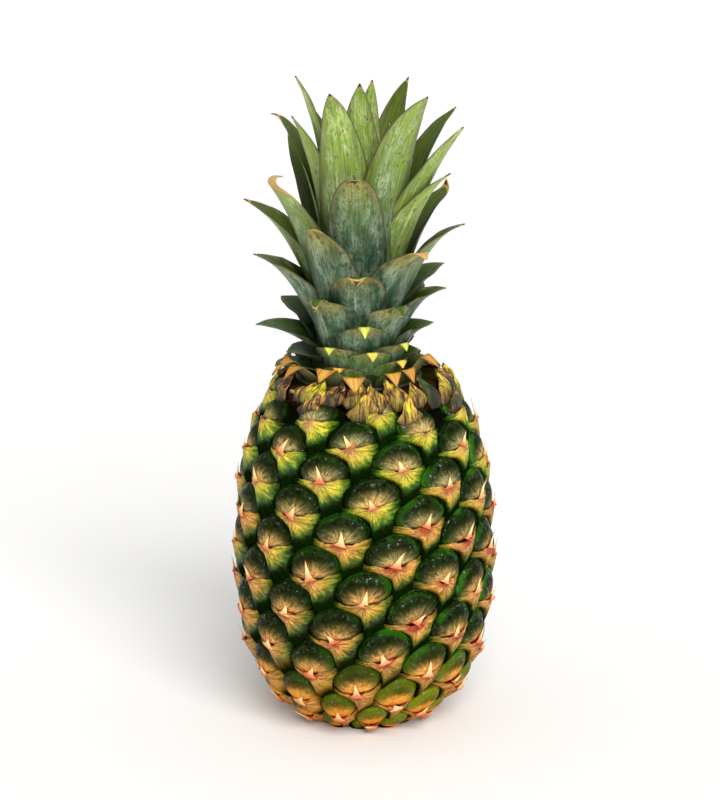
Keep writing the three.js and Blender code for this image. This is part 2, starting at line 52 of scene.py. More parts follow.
GAP = 0.3                # clearance between neighbouring pieces
DECK_Z = 157.0           # flat top of the fruit, which the crown stands on
CROWN_X = -2.5           # the crown stands a little to one side
CROWN_LEAN = -0.015      # and shifts further with height
PHASES = 6.28            # spread of the phases of waves, one whole turn
SHINE = 0.5              # specular level of a plain dry surface

Array = np.ndarray
Signal = bpy.types.NodeSocket | float


class Slot(Enum):
    """Material slots of the record."""

    RIND = "rind"
    LEAF = "leaf"
    DRY_BRACT = "dry_bract"
    CUT_STALK = "cut_stalk"


class Node(Enum):
    """Solids that the finer pieces stand for."""

    FRUIT = "fruit"
    CROWN = "crown"
    COLLAR = "collar"
    STALK = "stalk"


# ---- numbers ------------------------------------------------------------------------------------


def draw(number: Array, purpose: int) -> Array:
    """Repeatable draws from 0 to 1: the fraction of a large sine of the number and the purpose.

    Args:
        number: whole numbers of the repeated things.
        purpose: which draw of each thing.

    Returns:
        One value for each number.
    """
    wave = np.sin(np.asarray(number, float) * 12.9898 + purpose * 78.233) * 43758.5453
    return wave - np.floor(wave)


def wrap(turn: Array) -> Array:
    """Turns brought between -180 and 180 degrees."""
    return turn - 360.0 * np.round(turn / 360.0)


def smooth(value: Array, low: float | Array, high: float | Array) -> Array:
    """Smooth step: 0 below low, 1 above high, and 3s^2 - 2s^3 of the share s between them."""
    share = np.clip((value - low) / (high - low), 0.0, 1.0)
    return share * share * (3.0 - 2.0 * share)


def curve(points: tuple[tuple[float, float], ...], share: Array) -> Array:
    """Value at a share of a curve given as (share, value) points, straight between them."""
    return np.interp(share, *zip(*points))


def unit(vectors: Array) -> Array:
    """Vectors scaled to length 1."""
    return vectors / np.maximum(np.linalg.norm(vectors, axis=-1, keepdims=True), 1e-12)


def eased(count: int) -> Array:
    """Places from -1 to 1, sin(90 degrees x) of even ones, so that they crowd at both ends."""
    return np.sin(np.linspace(-1, 1, count) * math.pi / 2)


def turned(r: Array, z: Array, columns: int, centre_x: float = 0.0) -> Array:
    """A profile turned round an upright axis: (x + r sin turn, -r cos turn, z).

    Args:
        r: radius of each point of the profile.
        z: height of each point.
        columns: steps of a whole turn.
        centre_x: where the axis stands.

    Returns:
        One sleeve, shaped (1, points, columns, 3).
    """
    turn = np.radians(np.linspace(-180, 180, columns, endpoint=False))
    return np.stack([centre_x + r[:, None] * np.sin(turn), -r[:, None] * np.cos(turn),
                     z[:, None] + 0 * turn], -1)[None]


def linear(code: str) -> tuple[float, float, float, float]:
    """sRGB hex to linear RGBA: c/12.92 up to 0.04045, and ((c + 0.055)/1.055)^2.4 above it."""
    parts = [int(code[n:n + 2], 16) / 255 for n in (1, 3, 5)]
    return (*(c / 12.92 if c <= 0.04045 else ((c + 0.055) / 1.055) ** 2.4 for c in parts), 1.0)


# ---- materials ----------------------------------------------------------------------------------


class Kind(Enum):
    """Kinds of node: type, sockets in the order that values fill them, output and settings."""

    PLACE = "TexCoord", (), "Object", {}
    ATTRIBUTE = "Attribute", (), "Fac", {}
    X = "SeparateXYZ", (0,), 0, {}
    POINT = "CombineXYZ", (0, 1, 2), 0, {}
    LENGTH = "VectorMath", (0,), "Value", {"operation": "LENGTH"}
    SCALE = "VectorMath", (0, "Scale"), 0, {"operation": "SCALE"}
    ADD = "Math", (0, 1), 0, {"operation": "ADD"}
    MULTIPLY = "Math", (0, 1), 0, {"operation": "MULTIPLY"}
    MULTIPLY_ADD = "Math", (0, 1, 2), 0, {"operation": "MULTIPLY_ADD"}
    ANGLE = "Math", (0, 1), 0, {"operation": "ARCTAN2"}
    ABSOLUTE = "Math", (0,), 0, {"operation": "ABSOLUTE"}
    GREATER = "Math", (0, 1), 0, {"operation": "MAXIMUM"}
    RANGE = "MapRange", (0, 1, 2, 3, 4), 0, {}
    SMOOTH_RANGE = "MapRange", (0, 1, 2, 3, 4), 0, {"interpolation_type": "SMOOTHSTEP"}
    MIX = "Mix", (0, 6, 7), 2, {"data_type": "RGBA"}
    RAMP = "ValToRGB", (0,), 0, {}
    NOISE = "TexNoise", ("Vector", "Scale", "Detail", "Roughness"), 0, {}
    CELLS = "TexVoronoi", ("Vector", "Scale"), "Distance", {}
    BUMP = "Bump", ("Height", "Distance", "Strength"), 0, {}
    SURFACE = ("BsdfPrincipled",
               ("Base Color", "Roughness", "IOR", "Normal", "Specular IOR Level"), 0, {})
    OUTPUT = "OutputMaterial", ("Surface",), None, {}


def add_node(tree: bpy.types.NodeTree, kind: Kind, *values: Signal | str,
             stops: tuple[tuple[float, str], ...] = (), **settings: object) -> Signal | None:
    """Adds one node with its settings and links, or a chain for a sum or product of many.

    Args:
        tree: node tree of a material.
        kind: which kind of node.
        values: numbers, hex colours or outputs of other nodes, for the kind's sockets in order.
            Each one past them is joined to what came before it by a further node.
        stops: (place, hex colour) of each stop of a colour ramp.
        settings: further properties of the node.

    Returns:
        The output that the kind names, or None where it has none.
    """
    node_type, sockets, output, fixed = kind.value
    if len(values) > len(sockets):
        values = add_node(tree, kind, *values[:-1], **settings), values[-1]
    node = tree.nodes.new("ShaderNode" + node_type)
    for name, value in {**fixed, **settings}.items():
        setattr(node, name, value)
    for socket, value in zip(sockets, values):
        if isinstance(value, bpy.types.NodeSocket):
            tree.links.new(value, node.inputs[socket])
        else:
            node.inputs[socket].default_value = linear(value) if isinstance(value, str) else value
    if stops:
        ramp = node.color_ramp.elements
        while len(ramp) < len(stops):
            ramp.new(0.5)
        for element, (place, color) in zip(ramp, stops):
            element.position = place
            element.color = linear(color)
    return None if output is None else node.outputs[output]


def new_material(name: str) -> tuple[bpy.types.Material, partial]:
    """A material with an empty node tree, and its add-node function.

    Args:
        name: name of the material.

    Returns:
        The material, and add_node() with its tree filled in.
    """
    material = bpy.data.materials.new(name)
    material.use_nodes = True
    material.node_tree.nodes.clear()
    return material, partial(add_node, material.node_tree)


def per_metre(size: float) -> float:
    """Scale of a pattern on Object coordinates whose grains have a size in millimetres."""
    return 1 / (size * MM)


class Look(NamedTuple):
    """What the layers of a finish hand to its shader."""

    color: Signal
    rough: Signal
    shine: Signal
    relief: Signal


@dataclass(frozen=True)
class Finish:
    """A material made node by node: each finish below gives its colours, sizes and layers."""

    name: str
    reads: tuple[str, ...]                         # attributes of its piece
    relief_mm: float                               # height of its bump
    relief_strength: float
    ior: float = 1.45                              # wax and plant fibre

    def layers(self, add: partial, read: list[Signal]) -> Look:
        """Adds the nodes of the finish.

        Args:
            add: adds a node to the tree.
            read: the attributes that the finish reads, in order.

        Returns:
            Colour, roughness, specular level and relief.
        """
        raise NotImplementedError

    def material(self) -> bpy.types.Material:
        """The finished material: its layers, with the relief as bump, and the shader.

        Returns:
            The new material.
        """
        material, add = new_material(self.name)
        look = self.layers(add, [add(Kind.ATTRIBUTE, attribute_name=name) for name in self.reads])
        bump = add(Kind.BUMP, look.relief, self.relief_mm * MM, self.relief_strength)
        shader = add(Kind.SURFACE, look.color, look.rough, self.ior, bump, look.shine)
        add(Kind.OUTPUT, shader)
        return material


@dataclass(frozen=True)
class EyeFinish(Finish):
    """Living rind over an eye: grown under its own wax, so dark green with small clear lights.
    A felt of pale hairs fans out above the slit; the rim is painted brighter green as light on the
    sunny side, and the seam between the domes is painted near black as shade."""

    name: str = "waxy_rind"
    reads: tuple[str, ...] = ("eye_across", "eye_up", "eye_rim", "eye_own", "height")
    relief_mm: float = 0.8
    relief_strength: float = 0.9
    dark: str = "#080d03"
    green: str = "#1c2e07"
    # painted light: the rims of the domes are painted this brighter green, most on the sunny side
    sunlit_rim_green: str = "#34720c"
    # lime of the low eyes, partly their own colour and partly painted light, laid on most on the
    # sunny side
    low_sunlit_green: str = "#98a414"
    hair_cool: str = "#aeb074"
    hair_warm: str = "#d8a65c"
    flush: str = "#d8502a"
    # dark red-brown of the slit line, partly its own colour and partly painted shade under the
    # bract's free edge
    slit: str = "#2a0a03"
    # painted shade: the seam between the domes is painted near black
    seam_shade: str = "#081003"
    husk: str = "#2e2611"
    foot: str = "#eca430"
    sunny_x: tuple[float, float] = (-0.035, 0.05)  # metres, from the shaded to the sunny side
    foot_share: tuple[float, float] = (0.07, 0.3)  # height up to which the fruit is ripest
    flat: float = 0.8                              # the fan of hairs is wider than tall
    fan: tuple[float, float] = (6.0, 0.28)         # streaks a radian, and a mm outward
    hair_mm: tuple[float, float] = (4.0, 12.2)     # over which the hairs thin out
    pale_mm: tuple[float, float] = (2.0, 9.0)
    flush_mm: tuple[float, float] = (1.0, 5.5)
    slit_mm: tuple[float, float] = (0.2, 1.5)
    slit_half_mm: tuple[float, float] = (7.5, 10.5)
    ridge_at: float = 0.82                         # share of the dome's radius
    region_mm: float = 12.5
    blotch_mm: float = 2.632
    bead_mm: float = 1.613
    speck_mm: float = 0.769
    seed: float = 37.0

    def layers(self, add: partial, read: list[Signal]) -> Look:
        """Body, hairs, flush, slit, seam and husk, and the wax over them.

        Args:
            add: adds a node to the tree.
            read: the attributes that the finish reads, in order.

        Returns:
            Colour, roughness, shine and relief.
        """
        across, up, rim, own, height = read
        place = add(Kind.PLACE)
        sunny = add(Kind.RANGE, add(Kind.X, place), *self.sunny_x, 0.15)
        foot = add(Kind.RANGE, height, *self.foot_share, 1.0, 0.0)

        # the fan: angle and distance round the slit's middle
        reach = add(Kind.LENGTH, add(Kind.POINT, add(Kind.MULTIPLY, across, self.flat), up))
        fan = add(Kind.POINT, add(Kind.MULTIPLY, add(Kind.ANGLE, up, across), self.fan[0]),
                  add(Kind.MULTIPLY, reach, self.fan[1]), add(Kind.MULTIPLY, own, self.seed))
        streak = add(Kind.NOISE, fan, 1.0, 3.0, 0.6)
        region, blotch, beads, speck = (
            add(Kind.NOISE, place, per_metre(size), *rest) for size, *rest in (
                (self.region_mm, 5.0, 0.6), (self.blotch_mm, 3.0, 0.65), (self.bead_mm, 2.0),
                (self.speck_mm, 2.0)))

        # green of low eyes, partly their own lime and partly painted light on the sunny side, and
        # the rims painted brighter green as light on the sunny side
        mottled = add(Kind.RANGE, blotch, 0.35, 0.68)
        low_sunlit_greened = add(Kind.MULTIPLY, foot, add(Kind.RANGE, rim, 0.35, 0.85), sunny)
        sunlit_rim = add(Kind.MULTIPLY, add(Kind.RANGE, rim, 0.66, 0.9), sunny,
                     add(Kind.RANGE, region, 0.48, 0.6, 0.05))

        # hairs: strong near the slit, broken into streaks and specks, and all over low eyes
        uneven = add(Kind.MULTIPLY_ADD, blotch, 5.0, reach)
        uneven = add(Kind.MULTIPLY_ADD, foot, -2.2, uneven)
        near = add(Kind.SMOOTH_RANGE, uneven, *self.hair_mm, 1.0, 0.0)
        haired = add(Kind.MULTIPLY, near, add(Kind.RANGE, streak, 0.34, 0.6, 0.22),
                     add(Kind.RANGE, speck, 0.3, 0.65, 0.6, 1.1))
        full = add(Kind.RANGE, own, 0.0, 1.0, 0.9, 1.4)
        haired = add(Kind.MULTIPLY, haired, full, use_clamp=True)
        haired = add(Kind.MULTIPLY_ADD, foot, near, haired, use_clamp=True)
        warmth = add(Kind.RANGE, height, 0.1, 0.9, 0.7, 0.0)
        warmth = add(Kind.MULTIPLY_ADD, own, 0.5, warmth, use_clamp=True)
        hairs = add(Kind.MIX, warmth, self.hair_cool, self.hair_warm)
        hairs = add(Kind.MIX, foot, hairs, self.foot)
        hairs = add(Kind.SCALE, hairs, add(Kind.RANGE, reach, *self.pale_mm, 1.45, 0.55))

        # flush, and the dark line at the slit, partly its own red-brown and partly painted shade
        # under the bract's free edge
        close = add(Kind.MULTIPLY_ADD, foot, -2.0, reach)
        close = add(Kind.MULTIPLY, add(Kind.RANGE, close, *self.flush_mm, 1.0, 0.0), mottled)
        low = add(Kind.RANGE, height, 0.1, 0.95, 1.2, 0.3)
        close = add(Kind.MULTIPLY, close, low, use_clamp=True)
        middle = add(Kind.MULTIPLY_ADD, blotch, 6.0, add(Kind.ABSOLUTE, across))
        lines_and_shade = add(Kind.MULTIPLY, add(Kind.RANGE, up, *self.slit_mm, 1.0, 0.0),
                    add(Kind.RANGE, middle, *self.slit_half_mm, 1.0, 0.4))

        # one over the other, and last the seam between the domes, painted near black as shade, and
        # the husk of the flat ends, where rim is 2
        color = add(Kind.MIX, mottled, self.dark, self.green)
        for share, layer in ((low_sunlit_greened, self.low_sunlit_green), (sunlit_rim, self.sunlit_rim_green),
                             (haired, hairs), (close, self.flush), (lines_and_shade, self.slit),
                             (add(Kind.RANGE, rim, 0.9, 1.0), self.seam_shade),
                             (add(Kind.RANGE, rim, 1.5, 1.9), self.husk)):
            color = add(Kind.MIX, share, color, layer)

        # wax over a ridged rim, in beads that shine and none in the seam
        ridge = add(Kind.ABSOLUTE, add(Kind.ADD, rim, -self.ridge_at))
        ridge = add(Kind.SMOOTH_RANGE, ridge, 0.0, 0.08, 1.3, 0.0)
        ridge = add(Kind.MULTIPLY_ADD, ridge, speck, streak)
        relief = add(Kind.MULTIPLY_ADD, blotch, 1.2, ridge)
        rough = add(Kind.RANGE, haired, 0.0, 0.5, 0.22, 0.6)
        shine = add(Kind.MULTIPLY, add(Kind.RANGE, rim, 0.4, 0.7, 0.1, 1.0),
                    add(Kind.RANGE, beads, 0.6, 0.66, 0.06, 1.0),
                    add(Kind.RANGE, rim, 0.9, 0.98, 1.0, 0.0))
        return Look(color, rough, shine, relief)


@dataclass(frozen=True)
class EyeBractFinish(Finish):
    """Fleshy bract under an eye, grown in fibres and dried a little in the sun: peach at the foot
    of its spine, then tan low on the fruit and yellow high on it, olive, and deep green going near
    black towards the groove, partly its own green and partly painted shade, with rusty flecks."""

    name: str = "fleshy_bract"
    reads: tuple[str, ...] = ("eye_across", "eye_up", "lip", "eye_own", "height", "rise")
    relief_mm: float = 1.7
    relief_strength: float = 1.0
    # the last bands go deep green to near black towards the groove, partly the bract's own green
    # and partly painted shade
    warm: tuple[str, ...] = ("#e4562c", "#fab660", "#dc9c40", "#958822", "#425f0c", "#102406")
    fresh: tuple[str, ...] = ("#f4bc70", "#fae054", "#e0d038", "#7f9c20", "#34640a", "#102606")
    bands: tuple[float, ...] = (0.12, 0.27, 0.46, 0.66, 0.84, 1.0)
    edge: str = "#a23a18"
    rust: str = "#6e2a0e"
    foot: str = "#f0992c"
    # painted shade of the groove below and beside the bract
    groove_shade: str = "#0c1e03"
    fan_mm: tuple[float, float] = (15.0, 11.0)     # across and down, where the bands end
    fan: tuple[float, float] = (7.0, 2.2)          # fibres a radian, and over the fan
    foot_share: tuple[float, float] = (0.06, 0.28)  # height up to which the fruit is ripest
    # the ends of the wings take the near-black green of the painted groove shade
    wing_mm: tuple[float, float] = (9.0, 14.5)     # across, where its wings turn green
    blotch_mm: float = 3.333
    speck_mm: float = 0.667
    seed: float = 41.0

    def layers(self, add: partial, read: list[Signal]) -> Look:
        """Bands of colour, rust and lip, the green groove and the grain over them.

        Args:
            add: adds a node to the tree.
            read: the attributes that the finish reads, in order.

        Returns:
            Colour, roughness, shine and relief.
        """
        across, up, lip, own, height, rise = read
        place = add(Kind.PLACE)
        spot = (add(Kind.MULTIPLY, way, 1 / size) for way, size in zip((across, up), self.fan_mm))
        reach = add(Kind.LENGTH, add(Kind.POINT, *spot))
        fan = add(Kind.POINT, add(Kind.MULTIPLY, add(Kind.ANGLE, up, across), self.fan[0]),
                  add(Kind.MULTIPLY, reach, self.fan[1]), add(Kind.MULTIPLY, own, self.seed))
        fibre = add(Kind.NOISE, fan, 1.0, 4.0, 0.62)
        blotch = add(Kind.NOISE, place, per_metre(self.blotch_mm), 3.0, 0.62)
        speck = add(Kind.NOISE, place, per_metre(self.speck_mm), 2.0)

        # bands of colour by distance, moved by fibres, blotches and the eye itself
        share = reach
        for source, width in ((fibre, 0.5), (blotch, 0.6), (own, 0.2)):
            share = add(Kind.MULTIPLY_ADD, add(Kind.ADD, source, -0.5), width, share)
        warm, fresh = (add(Kind.RAMP, share, stops=tuple(zip(self.bands, colors)))
                       for colors in (self.warm, self.fresh))
        high = add(Kind.RANGE, add(Kind.MULTIPLY_ADD, own, 0.3, height), 0.62, 0.98)
        foot = add(Kind.RANGE, height, *self.foot_share, 0.8, 0.0)

        # rusty flecks, more of them near the slit and low on the fruit, and a dried lip
        rusty = add(Kind.MULTIPLY, add(Kind.RANGE, fibre, 0.46, 0.6),
                    add(Kind.RANGE, reach, 0.15, 0.6, 1.0, 0.15),
                    add(Kind.RANGE, height, 0.1, 0.85, 1.0, 0.25))
        lip = add(Kind.MULTIPLY, lip, 0.7)

        # painted shade: deep green going near black towards the foot of the bract, where it tucks
        # under the domes below, and towards the ends of its wings
        groove_shaded = add(Kind.MULTIPLY_ADD, fibre, 0.5, rise)
        groove_shaded = add(Kind.SMOOTH_RANGE, groove_shaded, 0.42, 0.78, 1.0, 0.0)
        wing = add(Kind.RANGE, add(Kind.ABSOLUTE, across), *self.wing_mm, 0.0, 0.75)
        groove_shaded = add(Kind.GREATER, groove_shaded, wing)

        color = add(Kind.MIX, high, warm, fresh)
        for share, layer in ((foot, self.foot), (rusty, self.rust), (lip, self.edge),
                             (groove_shaded, self.groove_shade)):
            color = add(Kind.MIX, share, color, layer)
        grained = add(Kind.MULTIPLY, add(Kind.RANGE, speck, 0.3, 0.7, 0.75, 1.15),
                      add(Kind.RANGE, fibre, 0.36, 0.6, 1.2, 0.62))
        relief = add(Kind.MULTIPLY_ADD, speck, 0.4, fibre)
        relief = add(Kind.MULTIPLY_ADD, blotch, 0.8, relief)
        shine = add(Kind.RANGE, groove_shaded, 0.0, 0.5, 0.35, 0.0)
        rough = add(Kind.RANGE, groove_shaded, 0.0, 1.0, 0.42, 0.9)
        return Look(add(Kind.SCALE, color, grained), rough, shine, relief)


@dataclass(frozen=True)
class SpineFinish(Finish):
    """Dry horny spine, hardened as it grew: cream with a low gloss, from a flushed foot to a
    brown point, in fine fibres."""

    name: str = "horny_spine"
    reads: tuple[str, ...] = ("along", "eye_own")
    relief_mm: float = 0.3
    relief_strength: float = 0.5
    ior: float = 1.5
    rough: float = 0.45
    foot: str = "#d0683a"
    shaft: str = "#eeb878"
    bright: str = "#f8dc98"
    point: str = "#8a5a34"
    grain_mm: float = 1.25

    def layers(self, add: partial, read: list[Signal]) -> Look:
        """One ramp along the spine, shifted by its grain and from spine to spine.

        Args:
            add: adds a node to the tree.
            read: the attributes that the finish reads, in order.

        Returns:
            Colour, roughness, shine and relief.
        """
        along, own = read
        grain = add(Kind.NOISE, add(Kind.PLACE), per_metre(self.grain_mm), 3.0)
        share = add(Kind.ADD, add(Kind.MULTIPLY_ADD, grain, 0.4, along),
                    add(Kind.MULTIPLY_ADD, own, 0.25, -0.25))
        color = add(Kind.RAMP, share, stops=(
            (0.1, self.foot), (0.34, self.shaft), (0.62, self.bright), (0.95, self.shaft),
            (1.0, self.point)))
        return Look(color, self.rough, SHINE, grain)


@dataclass(frozen=True)
class LeafFinish(Finish):
    """Stiff fibrous leaf, grown under a bloom that rubs off: the outer face blue-grey to
    yellow-green, the inner face bare deep green, fine lines along it, thin dark margins that are
    partly painted shade of the gaps between leaves, painted shade at the roots and towards the
    margins, and tips dried tan and brown."""

    name: str = "leaf_under_bloom"
    reads: tuple[str, ...] = ("along", "across", "across_mm", "along_mm", "inner", "rise",
                              "leaf_own", "dried", "folded", "bent")
    relief_mm: float = 0.3
    relief_strength: float = 0.5
    shine: float = 0.3
    outer_low: str = "#35583a"
    outer_high: str = "#7c9c38"
    bloom_low: str = "#94a68a"
    bloom_high: str = "#b2bf78"
    young: str = "#5c7c18"
    sunlit: str = "#bcd640"
    scurf: str = "#1f2e0e"
    inner_low: str = "#36500f"
    inner_high: str = "#46580e"
    fold_low: str = "#dfa83a"
    fold_high: str = "#b9c044"
    worn: str = "#a3966a"
    # thin dark margin line, partly its own colour and partly painted shade of the gaps between
    # leaves
    margin_and_gap_shade: str = "#2c3010"
    ripe: str = "#a59a4e"
    tan: str = "#cfa062"
    brown: str = "#43300f"
    # width and length of the lines, patches and mottling in mm, and detail of their noise
    grains: tuple[tuple[float, float, float], ...] = ((0.6, 20.0, 2.0), (7.692, 22.22, 4.0),
                                                      (2.0, 4.545, 6.0))
    seed: float = 53.0

    def layers(self, add: partial, read: list[Signal]) -> Look:
        """Outer face, bend, inner face, lines over both, and what wear and drying did.

        Args:
            add: adds a node to the tree.
            read: the attributes that the finish reads, in order.

        Returns:
            Colour, roughness, shine and relief.
        """
        along, side, side_mm, along_mm, inner, rise, own, dried, folded, bent = read
        seed = add(Kind.MULTIPLY, own, self.seed)
        lines, patch, mottle = (
            add(Kind.NOISE, add(Kind.POINT, add(Kind.MULTIPLY, side_mm, 1 / width),
                                add(Kind.MULTIPLY, along_mm, 1 / length), seed),
                1.0, detail, 0.65)
            for width, length, detail in self.grains)
        side_squared = add(Kind.MULTIPLY, side, side)
        climb = add(Kind.MULTIPLY_ADD, along, 0.34, rise)
        climb = add(Kind.SMOOTH_RANGE, climb, 0.66, 1.0)
        low = add(Kind.RANGE, rise, 0.0, 0.26, 0.85, 0.0)

        # outer face: blue-grey low leaves, yellow-green high ones and tips, under the bloom,
        # and the yellowed and stained bend of the leaves whose tips fold
        glow = add(Kind.MULTIPLY, add(Kind.RANGE, patch, 0.48, 0.64, 0.0, 0.8), climb)
        bare = add(Kind.MULTIPLY_ADD, patch, -1.0, 1.0)
        bloomed = add(Kind.MULTIPLY, add(Kind.RANGE, bare, 0.38, 0.6, 0.1, 1.0),
                      add(Kind.RANGE, mottle, 0.42, 0.55, 0.15),
                      add(Kind.RANGE, rise, 0.0, 0.3, 0.45))
        bloom = add(Kind.MIX, climb, self.bloom_low, self.bloom_high)
        scurfed = add(Kind.RANGE, mottle, 0.56, 0.66, 0.0, 0.7)
        yellowed = add(Kind.MULTIPLY_ADD, mottle, 1.2, bent)
        yellowed = add(Kind.RANGE, yellowed, 0.85, 1.65, 0.0, 0.85)
        stained = add(Kind.MULTIPLY, add(Kind.RANGE, mottle, 0.5, 0.58, 0.0, 0.85), bent)
        outer = add(Kind.MIX, climb, self.outer_low, self.outer_high)
        for share, layer in ((glow, self.sunlit), (low, self.young), (bloomed, bloom),
                             (scurfed, self.scurf), (yellowed, self.ripe),
                             (stained, self.brown)):
            outer = add(Kind.MIX, share, outer, layer)

        # inner face, bright where the tip folds over
        inside = add(Kind.MIX, climb, self.inner_low, self.inner_high)
        fold = add(Kind.RANGE, rise, 0.03, 0.16)
        fold = add(Kind.MIX, fold, self.fold_low, self.fold_high)
        fade = add(Kind.RANGE, side_squared, 0.15, 0.9, 1.0, 0.2)
        inside = add(Kind.MIX, add(Kind.MULTIPLY, folded, fade), inside, fold)
        color = add(Kind.MIX, inner, outer, inside)

        # lines and patches, and painted shade between the leaves, at their roots and towards their
        # margins
        root_shade_at = add(Kind.MULTIPLY_ADD, low, 0.5, along)
        lines_and_shade = add(Kind.MULTIPLY, *(add(Kind.RANGE, *steps) for steps in (
            (lines, 0.35, 0.65, 0.66, 1.18), (patch, 0.36, 0.64, 1.2, 0.78),
            (rise, 0.3, 0.75, 1.2, 0.92), (root_shade_at, 0.05, 0.8, 0.25, 1.1),
            (side_squared, 0.2, 1.0, 1.08, 0.6))))
        color = add(Kind.SCALE, color, lines_and_shade)

        # weathered shoulders of the older leaves, thin dark margins that are partly painted shade
        # of the gaps between leaves, and dried tips
        worn = add(Kind.MULTIPLY_ADD, along, side_squared, mottle)
        worn = add(Kind.MULTIPLY, add(Kind.RANGE, worn, 0.85, 1.2, 0.0, 0.6),
                   add(Kind.RANGE, rise, 0.5, 0.7, 1.0, 0.3))
        edge = add(Kind.RANGE, add(Kind.ABSOLUTE, side), 0.9, 0.985, 0.0, 0.75)
        dry = add(Kind.MULTIPLY_ADD, patch, 0.8, dried)
        dry_color = add(Kind.RAMP, dry, stops=((0.8, self.tan), (1.0, self.brown)))
        for share, layer in ((worn, self.worn), (edge, self.margin_and_gap_shade),
                             (add(Kind.RANGE, dry, 0.42, 0.64, 0.0, 0.75), self.ripe),
                             (add(Kind.RANGE, dry, 0.62, 0.78), dry_color)):
            color = add(Kind.MIX, share, color, layer)
        relief = add(Kind.MULTIPLY_ADD, mottle, 0.5, lines)
        rough = add(Kind.RANGE, bloomed, 0.0, 0.7, 0.34, 0.6)
        return Look(color, rough, self.shine, relief)


@dataclass(frozen=True)
class DryBractFinish(Finish):
    """Papery short leaf of the collar, dried where it folds: matt olive and brown outside, orange
    to yellow inside, with a brown point and fibres along it."""

    name: str = "papery_bract"
    reads: tuple[str, ...] = ("along", "across", "across_mm", "leaf_own", "inner")
    relief_mm: float = 0.4
    relief_strength: float = 0.6
    rough: float = 0.55
    olive: str = "#3f5e2c"
    bark: str = "#77743c"
    orange: str = "#d0802c"
    yellow: str = "#ecc24a"
    rim: str = "#8a4c14"
    brown: str = "#3a1e0c"
    fibre_mm: float = 0.667
    seed: float = 31.0

    def layers(self, add: partial, read: list[Signal]) -> Look:
        """Outside, folded inside, brown point, and the fibres over them, with painted shade
        towards the root.

        Args:
            add: adds a node to the tree.
            read: the attributes that the finish reads, in order.

        Returns:
            Colour, roughness, shine and relief.
        """
        along, side, side_mm, own, inner = read
        at = add(Kind.POINT, add(Kind.MULTIPLY, side_mm, 1 / self.fibre_mm), along,
                 add(Kind.MULTIPLY, own, self.seed))
        lines = add(Kind.NOISE, at, 1.0, 4.0, 0.65)
        tint = add(Kind.RANGE, lines, 0.35, 0.65)
        edge = add(Kind.MULTIPLY_ADD, side, side, tint)
        edge = add(Kind.RANGE, edge, 0.75, 1.5, 0.0, 0.8)
        inside = add(Kind.MIX, tint, self.orange, self.yellow)
        inside = add(Kind.MIX, edge, inside, self.rim)
        folded = add(Kind.MULTIPLY_ADD, lines, 0.2, along)
        folded = add(Kind.MULTIPLY, add(Kind.RANGE, folded, 0.54, 0.64), inner)
        point = add(Kind.MULTIPLY_ADD, lines, 0.5, along)
        point = add(Kind.RANGE, point, 1.12, 1.3)
        color = add(Kind.MIX, own, self.olive, self.bark)
        color = add(Kind.MIX, folded, color, inside)
        color = add(Kind.MIX, point, color, self.brown)
        # fibres, and painted shade: darker towards the root, where the bract meets the deck under
        # its fold
        lines_and_shade = add(Kind.MULTIPLY, add(Kind.RANGE, lines, 0.3, 0.7, 0.6, 1.15),
                    add(Kind.RANGE, along, 0.05, 0.35, 0.2, 1.0))
        return Look(add(Kind.SCALE, color, lines_and_shade), self.rough, SHINE, lines)


@dataclass(frozen=True)
class ShoulderScaleFinish(Finish):
    """Papery scale of a topmost eye, withered over its dome: patches of green, mauve-brown and
    tan with some lime left, matt fibres that fan out, and a thin reddish edge."""

    name: str = "papery_scale"
    reads: tuple[str, ...] = ("along", "across", "across_mm", "leaf_own")
    relief_mm: float = 1.5
    relief_strength: float = 0.8
    rough: float = 0.5
    green: str = "#2c440c"
    mauve: str = "#5e3e2a"
    tan: str = "#c89c3e"
    lime: str = "#ccc02c"
    edge: str = "#c8694c"
    patch_mm: float = 5.0
    fibre_mm: float = 0.909
    fibres_along: float = 2.2                      # lengths of fibre in a scale
    seed: float = 29.0

    def layers(self, add: partial, read: list[Signal]) -> Look:
        """Patches of colour, the edge, and the fibres over them, with painted shade towards the
        root.

        Args:
            add: adds a node to the tree.
            read: the attributes that the finish reads, in order.

        Returns:
            Colour, roughness, shine and relief.
        """
        along, side, side_mm, own = read
        at = add(Kind.POINT, add(Kind.MULTIPLY, side_mm, 1 / self.fibre_mm),
                 add(Kind.MULTIPLY, along, self.fibres_along),
                 add(Kind.MULTIPLY, own, self.seed))
        lines = add(Kind.NOISE, at, 1.0, 5.0, 0.7)
        patch = add(Kind.NOISE, add(Kind.PLACE), per_metre(self.patch_mm), 3.0, 0.6)
        share = 0.07
        for source, width in ((own, 0.3), (patch, 0.5), (lines, 0.25)):
            share = add(Kind.MULTIPLY_ADD, source, width, share)
        color = add(Kind.RAMP, share, stops=((0.46, self.green), (0.56, self.mauve),
                                             (0.67, self.tan), (0.74, self.lime)))
        edge = add(Kind.ADD, add(Kind.MULTIPLY, lines, 0.2), add(Kind.ABSOLUTE, side))
        edge = add(Kind.RANGE, edge, 0.98, 1.1, 0.0, 0.8)
        color = add(Kind.MIX, edge, color, self.edge)
        # fibres, and painted shade: darker towards the root, where the scales lie under one
        # another
        lines_and_shade = add(Kind.MULTIPLY, add(Kind.RANGE, lines, 0.4, 0.62, 0.16, 1.6),
                    add(Kind.RANGE, along, 0.0, 0.75, 0.05, 1.25))
        return Look(add(Kind.SCALE, color, lines_and_shade), self.rough, SHINE, lines)


